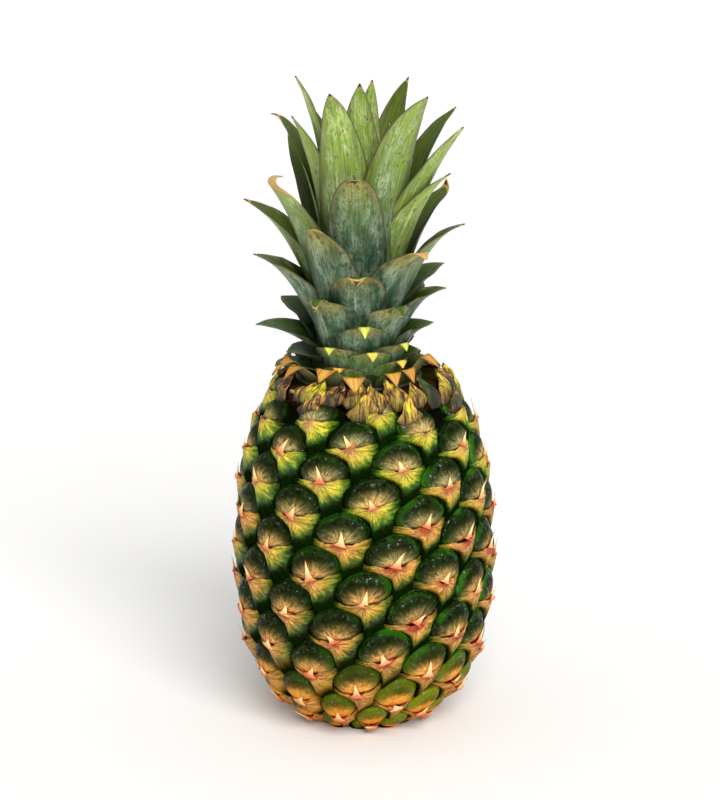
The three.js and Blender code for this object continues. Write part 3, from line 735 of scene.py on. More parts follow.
@dataclass(frozen=True)
class CutStalkFinish(Finish):
    """Cut end of the stalk, sliced across its fibres: pale dry matt pith with darker strands."""

    name: str = "cut_stalk"
    reads: tuple[str, ...] = ()
    relief_mm: float = 0.3
    relief_strength: float = 0.6
    rough: float = 0.85
    pith: str = "#c7ad7c"
    strand: str = "#8a6a3c"
    strand_mm: float = 1.111

    def layers(self, add: partial, read: list[Signal]) -> Look:
        """Strands as the middles of cells.

        Args:
            add: adds a node to the tree.
            read: the attributes that the finish reads, in order; not used, as it reads none.

        Returns:
            Colour, roughness, shine and relief.
        """
        strands = add(Kind.CELLS, add(Kind.PLACE), per_metre(self.strand_mm))
        share = add(Kind.RANGE, strands, 0.1, 0.5)
        color = add(Kind.MIX, share, self.strand, self.pith)
        return Look(color, self.rough, SHINE, strands)


# ---- meshes -------------------------------------------------------------------------------------


@dataclass
class SurfaceMesh:
    """Collects grids of points in millimetres and their attributes, and makes one Blender mesh."""

    points: list[Array] = field(default_factory=list)
    faces: list[list[int]] = field(default_factory=list)
    values: dict[str, list[Array]] = field(default_factory=dict)
    count: int = 0

    def add_sleeves(self, grids: Array, values: dict[str, Array | float]) -> None:
        """Adds sleeves: grids that close round their columns, with a flat cap at either end.

        A quad joins (row, column) to the next column and the next row. A cap is the ring itself.

        Args:
            grids: points, shaped (sleeves, rows, columns, 3). Rows rise and columns run
                anticlockwise seen from above, so that faces look outward.
            values: attributes that broadcast to (sleeves, rows, columns).
        """
        sleeves, rows, columns, _ = grids.shape
        index = np.arange(rows * columns).reshape(rows, columns)
        beside = np.roll(index, -1, axis=1)
        quads = np.stack([index[:-1], beside[:-1], beside[1:], index[1:]], -1).reshape(-1, 4)
        starts = self.count + np.arange(sleeves) * rows * columns
        self.faces += (quads[None] + starts[:, None, None]).reshape(-1, 4).tolist()
        self.faces += (index[0][::-1][None] + starts[:, None]).tolist()
        self.faces += (index[-1][None] + starts[:, None]).tolist()
        self.points.append(grids.reshape(-1, 3))
        for name, value in values.items():
            full = np.broadcast_to(value, (sleeves, rows, columns)).reshape(-1)
            self.values.setdefault(name, []).append(full)
        self.count += sleeves * rows * columns

    def add_blades(self, middle: Array, thick: Array, lowest: float,
                   values: dict[str, Array | float]) -> None:
        """Adds thin blades about their middle surfaces, as sleeves of an outer and inner face.

        The normal is the cross product of the steps across and along, and each face lies half
        the thickness off the middle. The attribute inner is 1 on the inner face.

        Args:
            middle: points, shaped (blades, rows, columns, 3), rows from root to tip.
            thick: thickness that broadcasts to (blades, rows, columns).
            lowest: height below which nothing reaches.
            values: attributes of one face.
        """
        normal = unit(np.cross(np.gradient(middle, axis=2), np.gradient(middle, axis=1)))
        lift = normal * np.broadcast_to(thick, middle.shape[:3])[..., None] / 2
        grid = np.concatenate([middle + lift, (middle - lift)[:, :, ::-1]], 2)
        grid[..., 2] = np.maximum(grid[..., 2], lowest)
        faces = {}
        for name, value in values.items():
            full = np.broadcast_to(value, middle.shape[:3])
            faces[name] = np.concatenate([full, full[:, :, ::-1]], 2)
        side = np.arange(2 * middle.shape[2]) >= middle.shape[2]
        self.add_sleeves(grid, {**faces, "inner": side.astype(float)[None, None, :]})

    def build(self, name: str, finish: Finish, node: Node, slot: Slot) -> bpy.types.Object:
        """Makes the object, at the origin and smooth, with its place in its mesh in metres.

        Args:
            name: the piece's name.
            finish: what it is made of.
            node: the solid that it stands for, wholly or in part.
            slot: its material slot; not used.

        Returns:
            The new object, in the scene, which rides on the body.
        """
        mesh = bpy.data.meshes.new(name)
        mesh.from_pydata(np.concatenate(self.points) * MM, [], self.faces)
        for key, parts in self.values.items():
            attribute = mesh.attributes.new(key, "FLOAT", "POINT")
            attribute.data.foreach_set("value", np.concatenate(parts).astype(np.float32))
        mesh.polygons.foreach_set("use_smooth", np.ones(len(mesh.polygons), bool))
        mesh.update()
        mesh.materials.append(finish.material())
        piece = bpy.data.objects.new(name, mesh)
        bpy.context.scene.collection.objects.link(piece)
        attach(piece, "root")
        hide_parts(node.value)
        return piece


# ---- fruit --------------------------------------------------------------------------------------


@dataclass(frozen=True)
class EyeSpiral:
    """Barrel outline of the fruit and the spiral on which its eyes stand."""

    belly_r: float = 58.8
    belly_z: float = 73.5
    upper: tuple[float, float] = (96.0, 2.64)      # height of the quarter and its power
    lower: tuple[float, float] = (77.8, 2.44)
    outline_steps: int = 240
    beyond: float = 60.0                           # straight run past either end
    divergence: float = 137.55
    first_turn: float = 5.0
    middle_eye: int = 69
    middle_climb: float = 18.8
    eye_rise: float = 1.27
    eye_sag: float = 0.00096
    first_eye: int = -8
    last_eye: int = 134
    plain_ends: int = 21                           # more numbers past both, to fill the ends
    front_spread: tuple[float, float] = (8.0, 0.066)   # degrees, and more per mm of climb
    side_drop: tuple[float, float] = (1.3, -0.049)
    half_turn: float = 10.5                        # half cell, degrees
    half_eyes: float = 11.0                        # half cell, eye numbers

    @cached_property
    def outline(self) -> tuple[Array, Array, Array]:
        """The outline: two superellipse quarters, and straight lines past both ends.

        r = belly (1 - (|z - belly z| / height)^power)^(1 / power)

        Returns:
            Radius, height and distance along, as three arrays.
        """
        z = DECK_Z * np.arange(self.outline_steps + 1) / self.outline_steps
        height = np.where(z > self.belly_z, self.upper[0], self.lower[0])
        power = np.where(z > self.belly_z, self.upper[1], self.lower[1])
        r = self.belly_r * (1 - (np.abs(z - self.belly_z) / height) ** power) ** (1 / power)
        r = np.concatenate([r[:1], r, r[-1:]])
        z = np.concatenate([[-self.beyond], z, [DECK_Z + self.beyond]])
        s = np.concatenate([[0.0], np.cumsum(np.hypot(np.diff(r), np.diff(z)))])
        return r, z, s - s[np.argmax(z >= self.belly_z)]

    def climb(self, number: Array) -> Array:
        """Distance above the belly of an eye number: middle + rise n - sag n^2."""
        n = number - self.middle_eye
        return self.middle_climb + self.eye_rise * n - self.eye_sag * n * n

    def number(self, climb: Array) -> Array:
        """Eye number, whole or not, at a distance above the belly: the root of climb().

        Args:
            climb: distance above the belly.

        Returns:
            One number for each distance.
        """
        over = self.eye_rise ** 2 - 4 * self.eye_sag * (climb - self.middle_climb)
        root = (self.eye_rise - np.sqrt(np.maximum(over, 0.0))) / (2 * self.eye_sag)
        return self.middle_eye + root

    def turn(self, number: Array) -> Array:
        """Turn of a whole eye number, before the fruit opens towards its front."""
        return wrap(self.first_turn - self.divergence * np.asarray(number, float))

    def place(self, turn: Array, number: Array) -> tuple[Array, Array, Array, Array]:
        """Points on the barrel, and unit vectors across, up and out, at turns and eye numbers."""
        return self.at_climb(turn, self.climb(number))

    def at_climb(self, turn: Array, climb: Array) -> tuple[Array, Array, Array, Array]:
        """As place(), by the distance above the belly.

        Args:
            turn: turns before the fruit opens towards its front.
            climb: distance above the belly.

        Returns:
            Points, and unit vectors across, up and out.
        """
        side = np.sin(np.radians(turn))
        opened = np.radians(turn + (self.front_spread[0] + self.front_spread[1] * climb) * side)
        s = climb + (self.side_drop[0] + self.side_drop[1] * climb) * side
        r_at, z_at, s_at = self.outline
        r, z, dr, dz = (np.interp(s, s_at, value) for value in (
            r_at, z_at, np.gradient(r_at, s_at), np.gradient(z_at, s_at)))
        size = np.hypot(dr, dz)
        dr, dz = dr / size, dz / size
        sin, cos = np.sin(opened), np.cos(opened)
        flat = np.zeros_like(sin)
        return (np.stack([r * sin, -r * cos, z], -1), np.stack([cos, sin, flat], -1),
                np.stack([dr * sin, -dr * cos, dz], -1), np.stack([dz * sin, -dz * cos, -dr], -1))

    def numbers_between(self, first: int, last: int, low: float, high: float) -> Array:
        """Numbers from first to last of the eyes whose middle stands between two heights.

        Args:
            first: lowest number.
            last: highest number.
            low: height above which they stand.
            high: height below which they stand.

        Returns:
            Whole numbers, rising.
        """
        n = np.arange(first, last + 1)
        z = self.place(self.turn(n), n)[0][:, 2]
        return n[(z > low) & (z < high)]


@dataclass(frozen=True)
class EyeShape:
    """One eye in its cell: places in half cells, heights in mm from the outline."""

    dome_mid: float = 0.04
    dome_wide: float = 1.12
    dome_tall: float = 0.7
    dome_power: float = 1.7
    dome_fall: tuple[float, float] = (2.2, 0.55)   # powers of its profile
    uneven: float = 0.035                          # waves of its edge, 3 and 5 round it
    fine_share: float = 0.6                        # of the 5 waves beside the 3
    phases: tuple[float, float] = (40.0, 90.0)     # of the waves, by tilt
    tilt: float = 0.08                             # rise of the eye towards rising turns
    tilt_spread: float = 0.07                      # by which eyes differ in it, either way
    valley: float = -4.9
    top: float = 0.2
    top_spread: float = 0.22                       # share of height by which domes differ
    slit_up: float = -0.33                         # middle of the slit
    slit_bow: float = 0.09
    cell_mm: tuple[float, float] = (11.6, 14.0)    # half cell, for patterns
    out_of_reach: float = -9.0                     # where a neighbour's dome has no edge

    def slope(self, number: Array) -> Array:
        """Tilt of each eye."""
        return self.tilt + self.tilt_spread * (2 * draw(number, 14) - 1)

    def rho(self, across: Array, up: Array, slope: Array) -> Array:
        """Distance from the dome's middle, 1 at its edge: (|across / wide|^p + |level|^p)^(1/p)
        with level = (up - mid - slope across) / tall, a circle drawn out towards a lozenge.

        Args:
            across: place across, in half cells.
            up: place up, in half cells.
            slope: tilt of the eye.

        Returns:
            One distance for each place.
        """
        level = (up - self.dome_mid - slope * across) / self.dome_tall
        power = self.dome_power
        rho = (np.abs(across / self.dome_wide) ** power + np.abs(level) ** power) ** (1 / power)
        angle = np.arctan2(level, across)
        coarse, fine = (np.sin(waves * angle + phase * slope)
                        for waves, phase in zip((3, 5), self.phases))
        return rho * (1 + self.uneven * (coarse + self.fine_share * fine))

    def dome(self, rho: Array, share: Array) -> Array:
        """Height of the dome: valley + (top - valley) share (1 - rho^p)^q.

        Args:
            rho: distance from its middle, 1 at its edge.
            share: share of the full height.

        Returns:
            Height from the outline.
        """
        power, root = self.dome_fall
        inside = np.maximum(1 - np.minimum(rho, 1.0) ** power, 0.0)
        return self.valley + (self.top - self.valley) * share * inside ** root

    def slit(self, across: Array, slope: Array) -> Array:
        """Up of the slit, where the bract ends over the dome: middle + bow across^2 + slope."""
        return self.slit_up + self.slit_bow * across ** 2 + slope * across

    def dome_top(self, across: Array, mid_across: float, mid_up: float) -> Array:
        """Up of the upper edge of a neighbour's dome, and far below where it doesn't reach.

        Args:
            across: place across, in half cells.
            mid_across: where the neighbour's middle is, across.
            mid_up: and up.

        Returns:
            One place up for each place across.
        """
        over = 1 - np.abs((across - mid_across) / self.dome_wide) ** self.dome_power
        edge = mid_up + self.dome_mid + self.tilt * (across - mid_across) \
            + self.dome_tall * np.maximum(over, 0.0) ** (1 / self.dome_power)
        return np.where(over > 0, edge, self.out_of_reach)


@dataclass
class RindSkin:
    """The body of the fruit: domes of the eyes over the barrel, flat base and deck with a hole
    each."""

    spiral: EyeSpiral
    eye: EyeShape
    columns: int = 500
    rows: int = 190
    disc_rows: int = 3
    stalk: tuple[float, float] = (12.5, 5.0)       # radius and depth of what stands in each hole
    stem: tuple[float, float] = (13.0, 6.0)
    rim_most: float = 1.4                          # of eye_rim between the domes
    rim_flat: float = 2.0                          # and on the flat ends
    far_mm: float = 20.0                           # from any slit, on the flat ends

    def build(self) -> bpy.types.Object:
        """Builds and dresses the skin: at each point the dome of the nearest eye.

        Returns:
            The new object, in the scene.
        """
        spiral, eye = self.spiral, self.eye
        turn = np.linspace(-180, 180, self.columns, endpoint=False)[None, :]
        _, z_at, s_at = spiral.outline
        ends = np.interp([0.0, DECK_Z], z_at, s_at)
        s = np.linspace(*ends, self.rows)[:, None]
        side = np.sin(np.radians(turn))
        climb = (s - spiral.side_drop[0] * side) / (1 + spiral.side_drop[1] * side)
        number = spiral.number(climb)

        rho = np.full(number.shape, np.inf)
        across, up, own, share = (np.zeros_like(rho) for _ in range(4))
        first, last = spiral.first_eye - spiral.plain_ends, spiral.last_eye + spiral.plain_ends
        for n in range(first, last + 1):
            a = wrap(turn - spiral.turn(n)) / spiral.half_turn
            b = (number - n) / spiral.half_eyes
            slope = eye.slope(n)
            here = eye.rho(a, b, slope)
            nearer = here < rho
            rho = np.where(nearer, here, rho)
            across = np.where(nearer, a, across)
            up = np.where(nearer, b - eye.slit(a, slope), up)
            own = np.where(nearer, draw(n, 7), own)
            share = np.where(nearer, 1 - eye.top_spread * draw(n, 16), share)
        point, _, _, out = spiral.at_climb(turn, climb)
        skin = point + out * eye.dome(rho, share)[..., None]
        skin[..., 2] = np.clip(skin[..., 2], 0.0, DECK_Z)

        base = self._disc(skin[0], 0.0, self.stalk[0] + GAP, 0.0, self.stalk[1] + GAP)[::-1]
        deck = self._disc(skin[-1], DECK_Z, self.stem[0] + GAP, CROWN_X,
                          DECK_Z - self.stem[1] - GAP)
        grid = np.concatenate([base, skin, deck])
        pad = partial(np.pad, pad_width=((len(base), len(deck)), (0, 0)))
        mesh = SurfaceMesh()
        mesh.add_sleeves(grid[None], {
            "eye_across": pad(across * eye.cell_mm[0], constant_values=self.far_mm),
            "eye_up": pad(up * eye.cell_mm[1], constant_values=self.far_mm),
            "eye_rim": pad(np.minimum(rho, self.rim_most), constant_values=self.rim_flat),
            "eye_own": pad(own),
            "height": grid[..., 2] / DECK_Z,
        })
        return mesh.build("rind_skin", EyeFinish(), Node.FRUIT, Slot.RIND)

    def _disc(self, ring: Array, z: float, hole_r: float, hole_x: float, hole_z: float) -> Array:
        """Rows from a skin ring over a flat face to a round hole, and down into it.

        Args:
            ring: points of the skin's last row.
            z: height of the face.
            hole_r: radius of the hole.
            hole_x: where its middle is.
            hole_z: height of its floor.

        Returns:
            Points shaped (rows, columns, 3), straight from the ring to the rim of the hole.
        """
        angle = np.arctan2(ring[:, 1], ring[:, 0])
        rim = np.stack([hole_x + hole_r * np.cos(angle), hole_r * np.sin(angle),
                        np.full_like(angle, z)], -1)
        outer, floor = ring.copy(), rim.copy()
        outer[:, 2] = z
        floor[:, 2] = hole_z
        share = np.linspace(0, 1, self.disc_rows)[:, None, None]
        return np.concatenate([outer + (rim - outer) * share, floor[None]])


@dataclass
class EyeBracts:
    """The fleshy bract below each eye: from its slit down to the tops of the three eyes below."""

    spiral: EyeSpiral
    eye: EyeShape
    reach: tuple[float, float] = (-1.2, 1.26)      # sideways, in half cells
    columns: int = 31
    rise_rows: int = 14
    below: tuple[int, ...] = (8, 13, 21)           # steps back to the three eyes below
    overlap: float = 0.12                          # depth of its foot under them
    least: float = 0.05                            # from foot to edge
    edge_height: float = 0.7
    edge_spread: float = 0.7                       # by which edges differ in height
    edge_fall: float = 5.8
    edge_power: float = 1.7
    foot_height: float = -4.7
    swell: float = 0.6                             # power of the rise from foot to edge
    ridge: tuple[float, float] = (0.8, 0.24)       # extra height down the middle, and its width
    ridge_fall: float = 1.4                        # it rises with v (fall - v)
    fold: float = 0.22                             # height of the folds down it
    folds: tuple[float, float] = (11.0, 6.0)       # radians a half cell, and their spread
    # waves of the free edge: height in half cells, radians a half cell and their spread
    waves: tuple[tuple[float, float, float], ...] = ((0.04, 5.0, 5.0), (0.02, 17.0, 9.0))
    waves_reach: tuple[float, float] = (0.95, 4.0)  # where they fade, and the power
    # the ring past the free edge: share of the way up, steps inward, and up in half cells
    over_edge: tuple[tuple[float, ...], ...] = (
        (1.0, 1.0, 0.97, 0.5, 0.0), (0.5, 1.0, 2.4, 3.0, 1.5), (0.03, 0.015, 0.0, 0.0, 0.0))
    lip: float = 0.81                              # thickness of its free edge, in steps inward
    past: tuple[int, int] = (8, 19)                # numbers past the first and last eye
    stands: tuple[float, float] = (1.0, 156.4)     # heights between which bracts stand

    def build(self) -> bpy.types.Object:
        """Builds and dresses the bracts.

        Each is a sleeve: its columns run from one side to the other, and its ring goes up the
        outside from the foot to the free edge, over the lip and back down inside the fruit.
        Height = foot + (edge - foot) v^swell, where v is the share of the way up, with a ridge
        down the middle and folds across it.

        Returns:
            The new object, in the scene.
        """
        spiral, eye = self.spiral, self.eye
        numbers = spiral.numbers_between(spiral.first_eye - self.past[0],
                                         spiral.last_eye + self.past[1], *self.stands)
        numbers = numbers[:, None, None]
        (wide, wide_phase, fine, fine_phase, raised, folded, fold_phase, own) = (
            draw(numbers, purpose) for purpose in (11, 12, 17, 18, 13, 19, 20, 7))
        a = ((self.reach[0] + self.reach[1]) / 2
             + (self.reach[1] - self.reach[0]) / 2 * eased(self.columns))[None, :, None]
        v = np.linspace(0, 1, self.rise_rows)
        ring_v, ring_in, ring_up = (np.concatenate(parts)[None, None, :]
                                    for parts in zip((v, 0 * v, 0 * v), self.over_edge))

        half = spiral.half_turn, spiral.half_eyes
        middle = spiral.middle_eye
        tops = []
        for step in self.below:
            shift = wrap(spiral.turn(middle - step) - spiral.turn(middle)) / half[0]
            tops.append(eye.dome_top(a, float(shift), -step / half[1]))
        wobble = sum(size * np.sin(a * (waves + spread * own_waves) + PHASES * phase)
                     for (size, waves, spread), own_waves, phase in zip(
                         self.waves, (wide, fine), (wide_phase, fine_phase)))
        fade, fade_power = self.waves_reach
        slit = eye.slit(a, eye.slope(numbers))
        edge = slit + wobble * np.exp(-(a / fade) ** fade_power)
        foot = np.minimum(np.maximum.reduce(tops) - self.overlap, edge - self.least)
        b = foot + (edge - foot) * ring_v + ring_up

        ends = np.abs(a) / max(self.reach)
        crest = self.edge_height - self.edge_fall * ends ** self.edge_power \
            + self.edge_spread * (raised - 0.5)
        height = self.foot_height + (crest - self.foot_height) * ring_v ** self.swell
        height = height + self.ridge[0] * np.exp(-(a / self.ridge[1]) ** 2) \
            * ring_v * (self.ridge_fall - ring_v)
        folds = np.sin(a * (self.folds[0] + self.folds[1] * folded) + PHASES * fold_phase)
        height = height + self.fold * folds * ring_v * (1 - ends ** 4) - ring_in * self.lip
        turn = spiral.turn(numbers) + a * half[0]
        point, _, _, out = spiral.place(turn, numbers + b * half[1])
        grid = point + out * height[..., None]
        grid[..., 2] = np.clip(grid[..., 2], 0.0, DECK_Z)

        mesh = SurfaceMesh()
        mesh.add_sleeves(grid, {
            "eye_across": a * eye.cell_mm[0],
            "eye_up": (b - slit) * eye.cell_mm[1],
            "eye_own": own,
            "lip": np.clip(ring_in, 0, 1),
            "height": grid[..., 2] / DECK_Z,
            "rise": ring_v,
        })
        return mesh.build("eye_bracts", EyeBractFinish(), Node.FRUIT, Slot.RIND)


@dataclass
class EyeSpines:
    """The dry spine that each bract ends in, drawn up over its eye."""

    spiral: EyeSpiral
    foot_up: float = -0.34
    foot_height: float = 0.3
    length: float = 7.9
    length_share: tuple[float, float] = (0.55, 0.72)   # least of the length, and spread
    lift: float = 6.0                              # degrees off the rind
    lift_share: tuple[float, float] = (0.7, 0.6)
    sway: float = 38.0                             # degrees to either side
    half: tuple[float, float] = (1.6, 0.55)        # half width and half thickness at the foot
    flare: tuple[float, float] = (2.0, 0.6)        # by which the foot spreads, each way
    flare_fall: float = 10.0
    taper: float = 1.05                            # power of the taper
    point: float = 0.04                            # share of the foot left at the point
    bend: tuple[float, float] = (24.0, 80.0)       # degrees along it, and for the few that curl
    rears: float = 24.0                            # degrees by which it rises or dips along it
    dips: float = 0.45                             # share of the spines that dip
    curled: float = 0.82                           # draw above which a spine curls
    rows: int = 15
    sides: int = 10
    stands: tuple[float, float] = (5.0, 143.0)     # heights between which spines stand

    def build(self) -> bpy.types.Object:
        """Builds and dresses the spines: an oval carried along an arc, tapering to a point.

        At t along it the way is out sin(lift) + (up cos(sway) + across sin(sway)) cos(lift), and
        both angles change evenly with t.

        Returns:
            The new object, in the scene.
        """
        spiral = self.spiral
        n = spiral.numbers_between(spiral.first_eye, spiral.last_eye, *self.stands)
        lift, sway, length, bend, rear, curls, own = (
            draw(n, purpose)[:, None] for purpose in (1, 2, 3, 8, 9, 24, 25))
        _, across, up, out = (value[:, None] for value in spiral.place(spiral.turn(n), n))
        foot, *_ = spiral.place(spiral.turn(n), n + self.foot_up * spiral.half_eyes)
        start = foot[:, None] + out * self.foot_height
        t = np.linspace(0, 1, self.rows)[None, :]
        most = np.where(curls > self.curled, *self.bend[::-1])
        turned_by = np.radians(self.sway * (2 * sway - 1)) + np.radians(most * (2 * bend - 1)) * t
        lifted = np.radians(self.lift * (self.lift_share[0] + self.lift_share[1] * lift)) \
            + np.radians(self.rears * (rear - self.dips)) * t
        parts = (np.sin(lifted), np.cos(lifted) * np.cos(turned_by),
                 np.cos(lifted) * np.sin(turned_by))
        way = sum(part[..., None] * vector for part, vector in zip(parts, (out, up, across)))
        share = self.length_share[0] + self.length_share[1] * length
        step = (self.length * share)[..., None] / (self.rows - 1)
        walked = np.cumsum((way[:, 1:] + way[:, :-1]) / 2, 1)
        path = start + np.concatenate([np.zeros_like(way[:, :1]), walked], 1) * step
        beside = unit(across - way * (across * way).sum(-1, keepdims=True))
        face = np.cross(beside, way)
        taper = (1 - t) ** self.taper + self.point
        wide, thick = (half * taper + flare * np.exp(-t * self.flare_fall)
                       for half, flare in zip(self.half, self.flare))
        angle = np.linspace(0, 2 * math.pi, self.sides, endpoint=False)[None, None, :, None]
        ring = (np.cos(angle) * (wide[..., None] * beside)[:, :, None]
                + np.sin(angle) * (thick[..., None] * -face)[:, :, None])
        mesh = SurfaceMesh()
        mesh.add_sleeves(path[:, :, None] + ring[:, :, ::-1],
                         {"along": t[..., None], "eye_own": own[..., None]})
        return mesh.build("eye_spines", SpineFinish(), Node.FRUIT, Slot.RIND)


@dataclass
class ShoulderScales:
    """The papery scales of the last, withered eyes, which lie over the shoulder at the crown."""

    spiral: EyeSpiral
    # count, height of the root and length of each ring
    rings: tuple[tuple[int, float, float], ...] = ((11, 147.5, 12.0), (25, 152.5, 14.0))
    shed: float = 0.12                             # share of the scales that have dropped off
    root_spread: float = 5.0
    spread: float = 0.7                            # of a scale's place, in places
    length_spread: float = 5.0
    half: tuple[float, float] = (6.6, 3.6)         # half width and its spread
    taper: tuple[float, float] = (1.5, 0.9)        # its powers
    ragged: tuple[float, float, float] = (0.16, 11.0, 2.5)   # share, radians along and across
    root_share: tuple[float, float] = (0.5, 0.3)   # width at the root, and full from there on
    skew: float = 12.0                             # by which tips stray sideways
    deck_rise: float = 14.0                        # degrees at which they lie over the deck
    height: tuple[float, float] = (-1.2, 1.0)      # over the outline at the root, and risen
    rises: float = 2.5                             # height over the outline grows this fast
    wave: tuple[float, float, float] = (0.9, 7.0, 5.0)   # height, radians along and across
    arch: float = 1.4                              # by which the margins lie lower
    curl: float = 3.6
    thick: float = 0.6
    least_r: float = 20.0
    rows: int = 18
    columns: int = 15
    ring_numbers: int = 40                         # between the numbers of two rings

    def build(self) -> bpy.types.Object:
        """Builds and dresses the rings of scales.

        Returns:
            The new object, in the scene.
        """
        mesh = SurfaceMesh()
        for ring, (count, root_z, length) in enumerate(self.rings):
            self._ring(mesh, count, ring, root_z, length)
        return mesh.build("shoulder_scales", ShoulderScaleFinish(), Node.FRUIT, Slot.RIND)

    def _ring(self, mesh: SurfaceMesh, count: int, ring: int, root_z: float,
              length: float) -> None:
        """Adds one ring of scales.

        Each is a blade on a path that goes up the outline and then over the deck. Its half width
        is half (1 - t^1.5)^0.9, wavy, above a narrower root. It is arched, and its tip curls up
        by t^3.

        Args:
            mesh: where the scales go.
            count: places in the ring.
            ring: number of the ring.
            root_z: height of the roots.
            length: mean length of a scale.
        """
        number = np.arange(count)
        number = number[draw(number + self.ring_numbers * ring, 36) > self.shed][:, None, None]
        shift, longer, wider, strays, wave_phase, curls, own, lower, edge_phase = (
            draw(number + self.ring_numbers * ring, purpose)
            for purpose in (26, 27, 28, 29, 30, 31, 32, 37, 38))
        place = number + 0.5 * ring + self.spread * (shift - 0.5)
        t = np.linspace(0, 1, self.rows)[None, :, None]
        x = np.linspace(-1, 1, self.columns)[None, None, :]
        r_at, z_at, s_at = self.spiral.outline
        start, edge = np.interp([root_z, DECK_Z], z_at, s_at)
        s = start + self.root_spread * (lower - 0.5) \
            + (length + self.length_spread * (longer - 0.5)) * t
        over = np.maximum(s - edge, 0.0)
        r = np.interp(np.minimum(s, edge), s_at, r_at) - over * np.cos(np.radians(self.deck_rise))
        z = np.interp(np.minimum(s, edge), s_at, z_at) + over * np.sin(np.radians(self.deck_rise))
        dr, dz = np.gradient(r, axis=1), np.gradient(z, axis=1)
        stride = np.hypot(dr, dz)
        half = (self.half[0] + self.half[1] * (wider - 0.5)) \
            * (1 - t ** self.taper[0]) ** self.taper[1]
        size, along, across = self.ragged
        half = half * (1 + size * np.sin(along * t + across * x + PHASES * edge_phase))
        least, full = self.root_share
        half = half * (least + (1 - least) * smooth(t, 0.0, full))
        offset = x * half + self.skew * (strays - 0.5) * t
        size, along, across = self.wave
        wave = size * np.sin(along * t + across * x + PHASES * wave_phase) * t
        root, risen = self.height
        lift = root + (risen - root) * np.minimum(1, self.rises * t) + self.curl * curls * t ** 3 \
            + wave - self.arch * x * x * (1 - 0.5 * t)
        out_r = r + dz / stride * lift
        angle = np.radians(place * 360 / count) + offset / np.maximum(r, self.least_r)
        middle = np.stack([out_r * np.sin(angle), -out_r * np.cos(angle),
                           z - dr / stride * lift + 0 * angle], -1)
        mesh.add_blades(middle, self.thick * (1 - 0.5 * x ** 4), 0.0, {
            "along": t, "across": x, "across_mm": offset, "leaf_own": own})


# ---- crown --------------------------------------------------------------------------------------


def blade_surface(blade: dict[str, Array], root: tuple[Array, Array], t: Array,
                  offset: Array, arc: tuple[float, float, float, float], sway: Array,
                  steps: int = 40) -> Array:
    """Middle surface of blades that leave their root at a lean and curl outward.

    The axis stands at lean + curl t^power degrees from upright, and hook degrees more past the
    place where the tip folds. Across it the blade is an arc, which flattens where it leans.

    Args:
        blade: turn, length, lean, curl, power, hook and hook_from of each blade.
        root: radius and height of each root.
        t: places along, 0 at the root and 1 at the tip.
        offset: distance across from the axis, in mm.
        arc: radius of the arc, its growth by the tip, and growth per degree past a lean.
        sway: sideways shift.
        steps: steps in which the axis is followed.

    Returns:
        Points shaped (blades, rows, columns, 3).
    """
    def angle(at: Array) -> Array:
        """Degrees of the axis from upright.

        Args:
            at: places along.

        Returns:
            One angle for each place and blade.
        """
        grown = np.maximum(at, 0.0)
        hooked = smooth(grown, blade["hook_from"], blade["hook_from"] + 0.1)
        return blade["lean"] + blade["curl"] * grown ** blade["power"] + blade["hook"] * hooked

    share = (np.arange(steps) + 0.5) / steps
    along = np.radians(angle(t * share[None, None, :]))
    stride = blade["length"] * t / steps
    r = root[0] + stride * np.sin(along).sum(-1, keepdims=True)
    z = root[1] + stride * np.cos(along).sum(-1, keepdims=True)
    here = angle(t)
    first, grows, per_degree, past = arc
    arc_r = first + grows * np.maximum(t, 0.0) + per_degree * np.maximum(here - past, 0.0)
    inward = arc_r * (1 - np.cos(offset / arc_r))
    side = arc_r * np.sin(offset / arc_r) + sway
    r = r - np.cos(np.radians(here)) * inward
    z = z + np.sin(np.radians(here)) * inward
    sin, cos = np.sin(np.radians(blade["turn"])), np.cos(np.radians(blade["turn"]))
    return np.stack([CROWN_X + r * sin + side * cos + CROWN_LEAN * (z - DECK_Z),
                     -r * cos + side * sin, z], -1)


